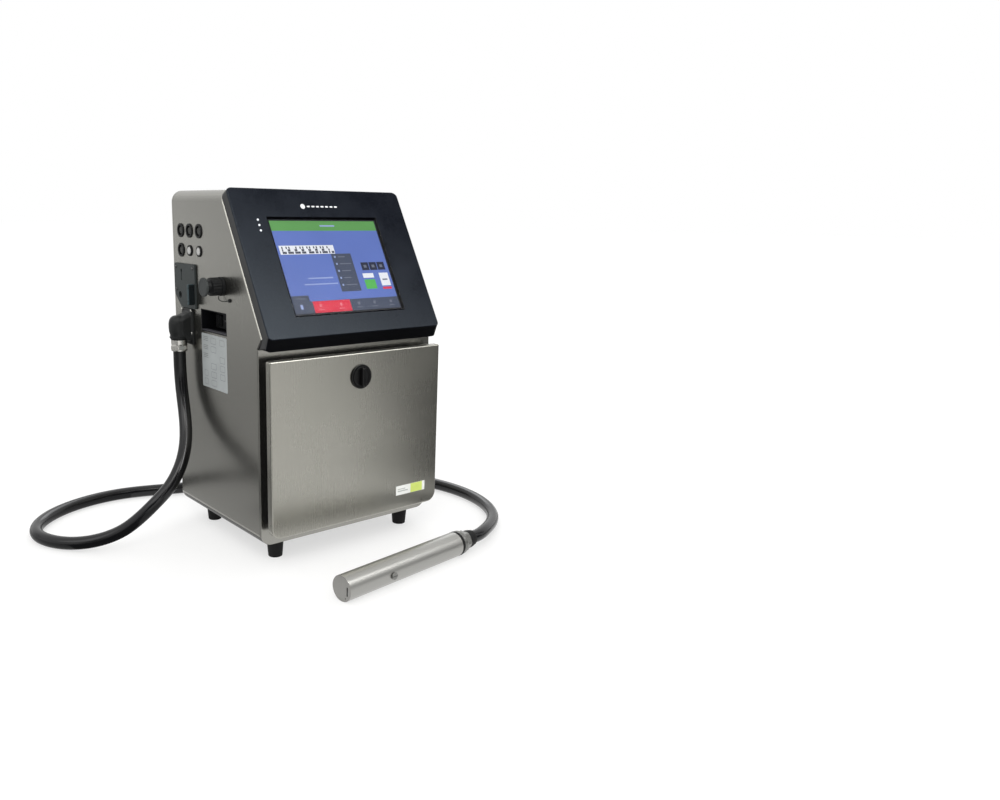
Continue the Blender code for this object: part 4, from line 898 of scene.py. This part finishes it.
def make_latch():
    """Round black quarter-turn latch: dished collar, turning disc with a raised bar, key slot."""
    profile = [(0.0068, -0.015), (0.016, -0.015), (0.016, 0.0003), (0.0203, 0.0003), (0.0205, 0.0008),
               (0.0205, 0.0024), (0.0202, 0.003), (0.0195, 0.0034), (0.018, 0.0034), (0.0173, 0.003),
               (0.0172, 0.0012), (0.0068, 0.0012)]
    piece("latch_collar", turned(profile, LATCH, OUT, 64, ring=True), "knob_black", "door",
          stands_for="latch_housing", soften=0.0002)
    profile = [(0.006, -0.0465), (0.006, 0.0015), (0.0168, 0.0015), (0.0168, 0.0028), (0.0166, 0.0033),
               (0.0161, 0.0036), (0.014, 0.0036), (0.0136, 0.003)]
    z = LATCH.z
    grip = box((-0.0034, 0.0034), (DOOR_Y - 0.0105, DOOR_Y - 0.0025), (z - 0.015, z + 0.015), 0.0014, 3)
    groove = box((-0.0009, 0.0009), (DOOR_Y - 0.012, DOOR_Y - 0.01), (z - 0.0115, z + 0.0115))
    disc = formed(turned(profile, LATCH, OUT, 64), joins=[grip], cuts=[groove])
    piece("latch_disc", disc, "knob_black", "latch", stands_for="latch_knob", soften=0.0003)
    reach, half = 0.037, 0.008
    arm = prism([(a, b + z) for a, b in rounded((-reach, half), (-half, half), 0.0035, 6)], at_y,
                DOOR_Y + 0.0468, DOOR_Y + 0.0498)
    piece("latch_arm", arm, "plated_steel", "latch", stands_for="latch_cam", soften=0.0004)
    nut = turned([(r, h, hexagon) for r, h in ((0.0055, 0.0), (0.0062, 0.0004), (0.0062, 0.003), (0.0055, 0.0034))],
                 (0.0, DOOR_Y + 0.0499, z), -OUT, 24)
    piece("latch_arm_nut", nut, "plated_steel", "latch", soften=0.0002)


def make_door_sticker():
    """White strip with a yellow-green patch, lower right; its print is plain bars."""
    y = DOOR_Y
    layers = {"sticker_white": [(0.08, 0.146, 0.078, 0.095, 0.0001)],
              "sticker_green": [(0.113, 0.14, 0.0782, 0.0948, 0.00014)],
              "sticker_grey": [(0.0835, 0.107, 0.0838, 0.086, 0.00016), (0.0835, 0.101, 0.0878, 0.0894, 0.00016)]}
    for name, rows in layers.items():
        shape = gather(*[box((x0, x1), (y - up, y + 0.00002), (z0, z1)) for x0, x1, z0, z1, up in rows])
        piece(f"door_{name}", shape, name, "door")


# ---------------------------------------------------------------- left side fittings
def make_sockets():
    """Six round data sockets in two rows, with coupling rims, inserts and pins."""
    rim = ribbed(24, 0.03)
    for row, sockets in (("upper", SOCKETS[:3]), ("lower", SOCKETS[3:])):
        z = sockets[0][1]
        strip = box((SIDE_X + 0.01, SIDE_X + 0.0125), (0.05, 0.136), (z - 0.011, z + 0.011), 0.0004)
        barrels, inserts, pins, caps = [], [], [], []
        for y, z, size in sockets:
            spot = (SIDE_X, y, z)
            profile = [(0.0096, -0.015), (0.0096, GAP), (0.0117, GAP), (0.012, 0.0005, rim), (0.012, 0.0013, rim),
                       (0.0117, 0.0018, rim), (0.011, 0.002), (0.0088, 0.002), (0.0084, 0.0014), (0.0084, -0.003)]
            barrels.append(turned([(r * size, h, *own) for r, h, *own in profile], spot, LEFT, 96))
            if size < 1.0:
                caps.append(turned([(0.0081 * size, -0.0028), (0.0081 * size, 0.0016), (0.0074 * size, 0.0024),
                                    (0.006 * size, 0.0026)], spot, LEFT, 32))
                continue
            inserts.append(turned([(0.006, -0.0029), (0.006, -0.0004), (0.0056, 0.0)], spot, LEFT, 32))
            for i in range(5):
                angle = radians(72 * i + 20)
                base = Vector((SIDE_X, y + 0.0036 * cos(angle), z + 0.0036 * sin(angle)))
                pins.append(rod(0.0005, base - 0.0005 * LEFT, base + 0.0012 * LEFT, 8))
        piece(f"data_sockets_{row}", formed(strip, joins=barrels), "black_plastic",
              stands_for=f"signal_sockets_{row}")
        piece(f"socket_inserts_{row}", gather(*inserts), "socket_grey")
        piece(f"socket_pins_{row}", gather(*pins), "dark_steel")
        if caps:
            piece("socket_caps", gather(*caps), "socket_cap")


def make_umbilical_entry():
    """Keyed plate, interlock block, moulded elbow and plated gland where the hose leaves."""
    plate = [(0.0745, 0.4), (0.127, 0.4), (0.15, 0.42), (0.152, 0.428), (0.152, 0.472), (0.15, 0.4755),
             (0.147, 0.476), (0.0755, 0.476), (0.0725, 0.4735), (0.0725, 0.402)]
    cuts = [box((SIDE_X - 0.01, SIDE_X + 0.01), (0.1222, 0.1252), (0.447, 0.464)),
            side_hole(0.0034, 0.1238, 0.4635), side_hole(0.006, 0.131, 0.421)]
    piece("entry_plate", formed(prism(plate, at_x, SIDE_X - 0.0035, SIDE_X - GAP), cuts=cuts), "grey_plastic",
          stands_for="umbilical_plate", soften=0.0008, steps=3)
    screws("entry_plate_screws", [(SIDE_X - 0.0035, y, z) for y, z in
                                  ((0.08, 0.469), (0.1455, 0.469), (0.144, 0.43))], LEFT, 0.0026, "dark_steel")
    # A near-black disc just inside the plate's key hole: painted shade for the hole's depth.
    key = rod(0.0058, (SIDE_X - 0.0008, 0.131, 0.421), (SIDE_X - 0.0004, 0.131, 0.421))
    piece("key_hole_shade", key, "dark_cavity")

    block = box((SIDE_X - 0.015, SIDE_X - 0.0038), (0.0735, 0.081), (0.4075, 0.443), 0.0016, 3)
    lines = [box((SIDE_X - 0.016, SIDE_X - 0.002), (0.072, 0.0825), (z - 0.0004, z + 0.0004))
             for z in (0.414, 0.4365)]
    core = box((SIDE_X - 0.0145, SIDE_X - 0.004), (0.074, 0.0805), (0.408, 0.4425), 0.0016, 3)
    # The case's outer and top faces take a lighter teal copy of its plastic: a painted highlight.
    piece("interlock_case", formed(block, cuts=[gather(*lines)]), "block_plastic",
          stands_for="interlock_block", soften=0.0002,
          others=[("block_lit_face", lambda face: face.normal.x < -0.6 or face.normal.z > 0.6)])
    piece("interlock_core", core, "dark_cavity")

    bulge = [(0.014, 0.0), (0.0146, 0.0006), (0.015, 0.004), (0.015, 0.0085), (0.0166, 0.014), (0.0171, 0.022),
             (0.0169, 0.029), (0.0157, 0.0345), (0.0133, 0.0385), (0.0095, 0.0412), (0.005, 0.0421)]
    flange_x, wall_x = SIDE_X - 0.004, SIDE_X + 0.004
    flange = prism(rounded((0.086, 0.128), (0.3365, 0.3992), 0.0035, 6), at_x, flange_x, wall_x)
    neck = stack([at_x(rounded((0.0885, 0.1235), (low, high), 0.009, 8), x)
                  for x, low, high in ((HOSE_AXIS.x, 0.349, 0.386), (flange_x - 0.004, 0.344, 0.3915),
                                       (flange_x + 0.001, 0.3425, 0.3945))])
    bore = rod(0.012, HOSE_AXIS - 0.01 * UP, HOSE_AXIS + 0.002 * UP)
    hood = formed(turned(bulge, HOSE_AXIS), joins=[flange, neck], cuts=[bore], blend=0.0008)
    behind = box((SIDE_X - GAP, SIDE_X + 0.02), (0.06, 0.15), (0.32, 0.42))
    rib = [(0.0148, 0.0022), (0.0158, 0.0028), (0.0162, 0.0042), (0.0158, 0.0056), (0.0148, 0.0062)]
    hood = formed(hood, joins=[turned(rib, HOSE_AXIS)], cuts=[behind])
    piece("elbow_hood", hood, "hood_rubber", stands_for="umbilical_elbow")
    screws("elbow_screws", [(flange_x, y, z) for y in (0.0895, 0.1245) for z in (0.396, 0.357)], LEFT, 0.0026)

    nut = [(0.0128, -0.0198), (0.0137, -0.0196), (0.014, -0.0186), (0.0142, -0.0172), (0.015, -0.017, hexagon),
           (0.0158, -0.0164, hexagon), (0.0158, -0.0104, hexagon), (0.015, -0.0098, hexagon), (0.0139, -0.0096),
           (0.0136, -0.0078), (0.014, -0.0074), (0.014, -GAP)]
    piece("gland_hex", turned(nut, HOSE_AXIS, segments=96), "plated_steel", stands_for="gland_nut", soften=0.0002)


def make_service_port():
    """Capped filling port; the cap's strap hangs below it and is fixed to the side sheet."""
    profile = [(0.0105, -0.012), (0.0105, GAP), (0.015, GAP), (0.0155, 0.0008), (0.0155, 0.0034), (0.015, 0.004),
               (0.0125, 0.0048), (0.0122, 0.0062), (0.0125, 0.007), (0.0122, 0.0084), (0.0125, 0.0092),
               (0.0122, 0.0106), (0.0125, 0.0114), (0.0125, 0.018)]
    piece("port_collar", turned(profile, SERVICE_PORT, LEFT), "black_plastic", stands_for="service_port")
    grip = ribbed(18, 0.07)
    profile = [(0.013, 0.0184), (0.013, 0.0056), (0.014, 0.0056), (0.0146, 0.0062), (0.0148, 0.0074, grip),
               (0.0148, 0.0206, grip), (0.0146, 0.0216), (0.0138, 0.0222), (0.011, 0.0226), (0.0101, 0.0236),
               (0.01, 0.0298)]
    piece("port_cap_body", turned(profile, SERVICE_PORT, LEFT, 108), "black_plastic", "service_cap",
          stands_for="port_cap")
    disc = turned([(0.014, 0.0299), (0.0149, 0.0303), (0.01525, 0.0312), (0.01525, 0.0332), (0.0149, 0.0341),
                   (0.014, 0.0345), (0.0118, 0.0345), (0.0112, 0.0341)], SERVICE_PORT, LEFT, 64)
    piece("port_cap_disc", disc, "disc_grey", "service_cap")
    px, py, pz = SERVICE_PORT
    strap = tube([(px - 0.005, py + 0.002, pz - 0.0158), (px - 0.0056, py + 0.001, pz - 0.02),
                  (px - 0.0052, py - 0.005, pz - 0.0228), (px - 0.0036, py - 0.015, pz - 0.0232),
                  (px - 0.0018, py - 0.026, pz - 0.0215)], 0.0007, 24, 10)
    ring = turned([(0.014, 0.0043), (0.0152, 0.0043), (0.0152, 0.0053), (0.014, 0.0053)], SERVICE_PORT, LEFT,
                  ring=True)
    lug = turned([(0.003, GAP), (0.003, 0.002), (0.0024, 0.0026)], (px, py - 0.0265, pz - 0.0212), LEFT, 24)
    piece("port_strap", gather(strap, ring, lug), "black_plastic")


def make_power_bay():
    """Recess with a rounded lip, mains inlet and rocker switch."""
    back = SIDE_X + 0.037
    loops = [at_x(rounded(RECESS_Y, RECESS_Z, 0.002, 6, inset), x)
             for inset, x in ((GAP, back), (GAP, SIDE_X), (0.0008, SIDE_X - 0.0002), (0.0018, SIDE_X + 0.0006),
                              (0.0018, back - 0.0015))]
    piece("recess_box", stack(loops), "recess_plastic", stands_for="power_recess")
    floor_z, inside = RECESS_Z[0] + 0.0018, (RECESS_Y[0] + 0.002, RECESS_Y[1] - 0.002)
    # A grey strip along the recess floor: painted light, where light from outside falls on it.
    sill = box((SIDE_X + 0.0004, SIDE_X + 0.01), inside, (floor_z, floor_z + 0.0012), 0.0004)
    piece("recess_lit_sill", sill, "sill_grey")
    face, wall = SIDE_X + 0.022, SIDE_X + 0.0352
    inlet = box((face, wall), (-0.026, 0.049), (0.37, 0.398), 0.001)
    mouth = [(-0.02, 0.3745), (0.003, 0.3745), (0.003, 0.387), (-0.002, 0.3925), (-0.015, 0.3925), (-0.02, 0.387)]
    cuts = [prism(mouth, at_x, face - 0.01, face + 0.01),
            box((face - 0.01, face + 0.011), (0.0218, 0.0442), (0.3743, 0.3937))]
    piece("inlet_case", formed(inlet, cuts=cuts), "black_plastic", stands_for="power_inlet", soften=0.0003)
    pins = [box((face + 0.001, face + 0.012), (y - 0.002, y + 0.002), (z - 0.001, z + 0.001), 0.0004)
            for y, z in ((-0.0155, 0.38), (-0.0015, 0.38), (-0.0085, 0.388))]
    piece("inlet_pins", gather(*pins), "brass")
    screws("inlet_screws", [(face, y, 0.384) for y in (-0.0232, 0.0125)], LEFT, 0.0024, "dark_steel")
    spot = Vector((face + 0.0045, 0.033, 0.384))
    lean = Matrix.Rotation(radians(-7.0), 2)
    outline = [(-0.006, -0.0097), (-0.0051, -0.006), (-0.004, 0.0), (-0.0051, 0.006), (-0.006, 0.0097),
               (0.0015, 0.0097), (0.0035, 0.0), (0.0015, -0.0097)]
    outline = [lean @ Vector(point) + spot.xy for point in outline]
    key = prism(outline, at_z, 0.375, 0.393)
    piece("rocker_key", key, "black_plastic", "rocker", stands_for="power_rocker", soften=0.0005)


def make_rating_label():
    """Silver label below the recess: three columns of blank boxes and bars."""
    y, z, x = (-0.031, 0.059), (0.2695, 0.362), SIDE_X
    piece("side_label", prism(rounded(y, z, 0.0025, 5), at_x, x - 0.00015, x + 0.00002), "label_silver")
    print_x = (x - 0.00022, x - 0.00014)
    cells = []
    for column, (far, near) in enumerate(((0.053, 0.036), (0.028, 0.005), (-0.004, -0.025))):
        for row in range(6):
            top = 0.357 - 0.0145 * row
            if (column + row) % 4 == 3:
                continue
            if column == 0 and row < 4:
                cells += [box(print_x, (near, far), (top - 0.003 * k - 0.0012, top - 0.003 * k)) for k in range(3)]
            else:
                ring = prism(rounded((near + 0.002, far - 0.002), (top - 0.0105, top), 0.002, 4), at_x, *print_x)
                hole = prism(rounded((near + 0.0027, far - 0.0027), (top - 0.0098, top - 0.0007), 0.0015, 4), at_x,
                             x - 0.001, x)
                cells.append(formed(ring, cuts=[hole]))
    piece("side_label_print", gather(*cells), "label_print")


# ---------------------------------------------------------------- print head, nose at x = 0 and rear at +x
def make_print_head():
    """Brushed tube with a jet slot in its nose, a knurled screw, a seal and a rear gland."""
    r, wall = HEAD_R, 0.0016
    profile = [(0.006, 0.0), (r - 0.0008, 0.0), (r - 0.0003, 0.00015), (r, 0.0008), (r, COVER_LENGTH - 0.0004),
               (r - 0.0004, COVER_LENGTH), (r - wall, COVER_LENGTH), (r - wall, 0.0022)]
    cuts = [box((-0.01, 0.01), (JET_Y - 0.0014, JET_Y + 0.0014), (-0.0085, 0.0055)),
            rod(0.001, (-0.01, -0.0085, -0.0135), (0.01, -0.0085, -0.0135), 16),
            rod(0.0026, (SCREW_X, -0.03, 0.0), (SCREW_X, -0.01, 0.0), 24)]
    tube_body = formed(turned(profile, (0, 0, 0), ALONG, 128), cuts=cuts)
    piece("head_tube", tube_body, "head_steel", "print_head_cover", HEAD, stands_for="head_cover",
          slot="head_steel", others=[("nose_steel", lambda face: face.normal.x < -0.9)])
    knurl = ribbed(30, 0.05)
    profile = [(0.0018, -0.0026), (0.0022, -0.0022), (0.0022, 0.0005), (0.0057, 0.0005), (0.006, 0.0008, knurl),
               (0.006, 0.0024, knurl), (0.0056, 0.003), (0.005, 0.0032)]
    slot = box((SCREW_X - 0.007, SCREW_X + 0.007), (-r - 0.006, -r - 0.0022), (-0.0006, 0.0006))
    knob = formed(turned(profile, (SCREW_X, -r, 0), OUT, 90), cuts=[slot])
    piece("head_screw", knob, "turned_steel", "print_head_screw", HEAD, stands_for="cover_screw")
    ring = [(0.019, 0.2563), (0.0206, 0.2563), (0.021, 0.2569), (0.021, 0.2609), (0.0206, 0.2615), (0.019, 0.2615)]
    piece("head_seal", turned(ring, (0, 0, 0), ALONG, 96, ring=True), "black_rubber", "cabinet", HEAD,
          stands_for="head_seal_ring")
    rear = [(0.0198, 0.262), (0.0203, 0.2624), (0.0203, 0.265), (0.02, 0.2653), (0.02, 0.2659), (0.0203, 0.2662),
            (0.0203, 0.2688), (0.0199, 0.27), (0.0188, 0.2716), (0.018, 0.272)]
    piece("head_collar", turned(rear, (0, 0, 0), ALONG, 96), "turned_steel", "cabinet", HEAD,
          stands_for="head_rear_cap", slot="machined_steel")
    nut = [(0.016, 0.2723), (0.0168, 0.2724), (0.0172, 0.2728, hexagon), (0.018, 0.2736, hexagon),
           (0.018, 0.2826, hexagon), (0.017, 0.2836, hexagon), (0.0158, 0.284), (0.0156, 0.286), (0.015, 0.293),
           (0.0139, 0.298), (0.0132, 0.301), (0.0126, 0.302)]
    piece("head_nut", turned(nut, (0, 0, 0), ALONG, 96), "turned_steel", "cabinet", HEAD,
          stands_for="head_gland_nut", soften=0.0002,
          others=[("black_rubber", lambda face: face.center.x > 0.2842)])


# ---------------------------------------------------------------- everything else keeps its CAD shape
def dress_cad():
    dress("mid_shelf drip_tray hydraulic_plate", "inner_steel", 0.0004)
    dress("touch_glass", "screen_glass")
    dress("lcd_module", "lcd_frame")
    dress("status_light_pipe", "lamp_white", 0.0002)
    dress("display_board main_board", "solder_mask")
    dress("power_supply valve_manifold head_chassis charge_electrode", "aluminium")
    dress("fan_frame fan_rotor", "black_plastic", 0.0004)
    dress("ink_tank", "ink_tank", 0.002)
    dress("makeup_tank ink_filter", "makeup_tank", 0.002)
    dress("ink_cap", "black_plastic")
    dress("makeup_cap", "blue_cap")
    dress("ink_pump deflector_plates", "plated_steel")
    dress("nozzle_block gutter_block", "machined_steel")
    dress("umbilical_lead ink_feed_tube makeup_feed_tube", "tubing", 0.0)


make_camera()
make_studio()
make_materials()
make_cabinet()
make_front_frame()
make_feet()
make_bezel()
make_display()
make_door()
make_hinges()
make_latch()
make_door_sticker()
make_sockets()
make_umbilical_entry()
make_service_port()
make_power_bay()
make_rating_label()
make_print_head()
dress_cad()
make_hose()
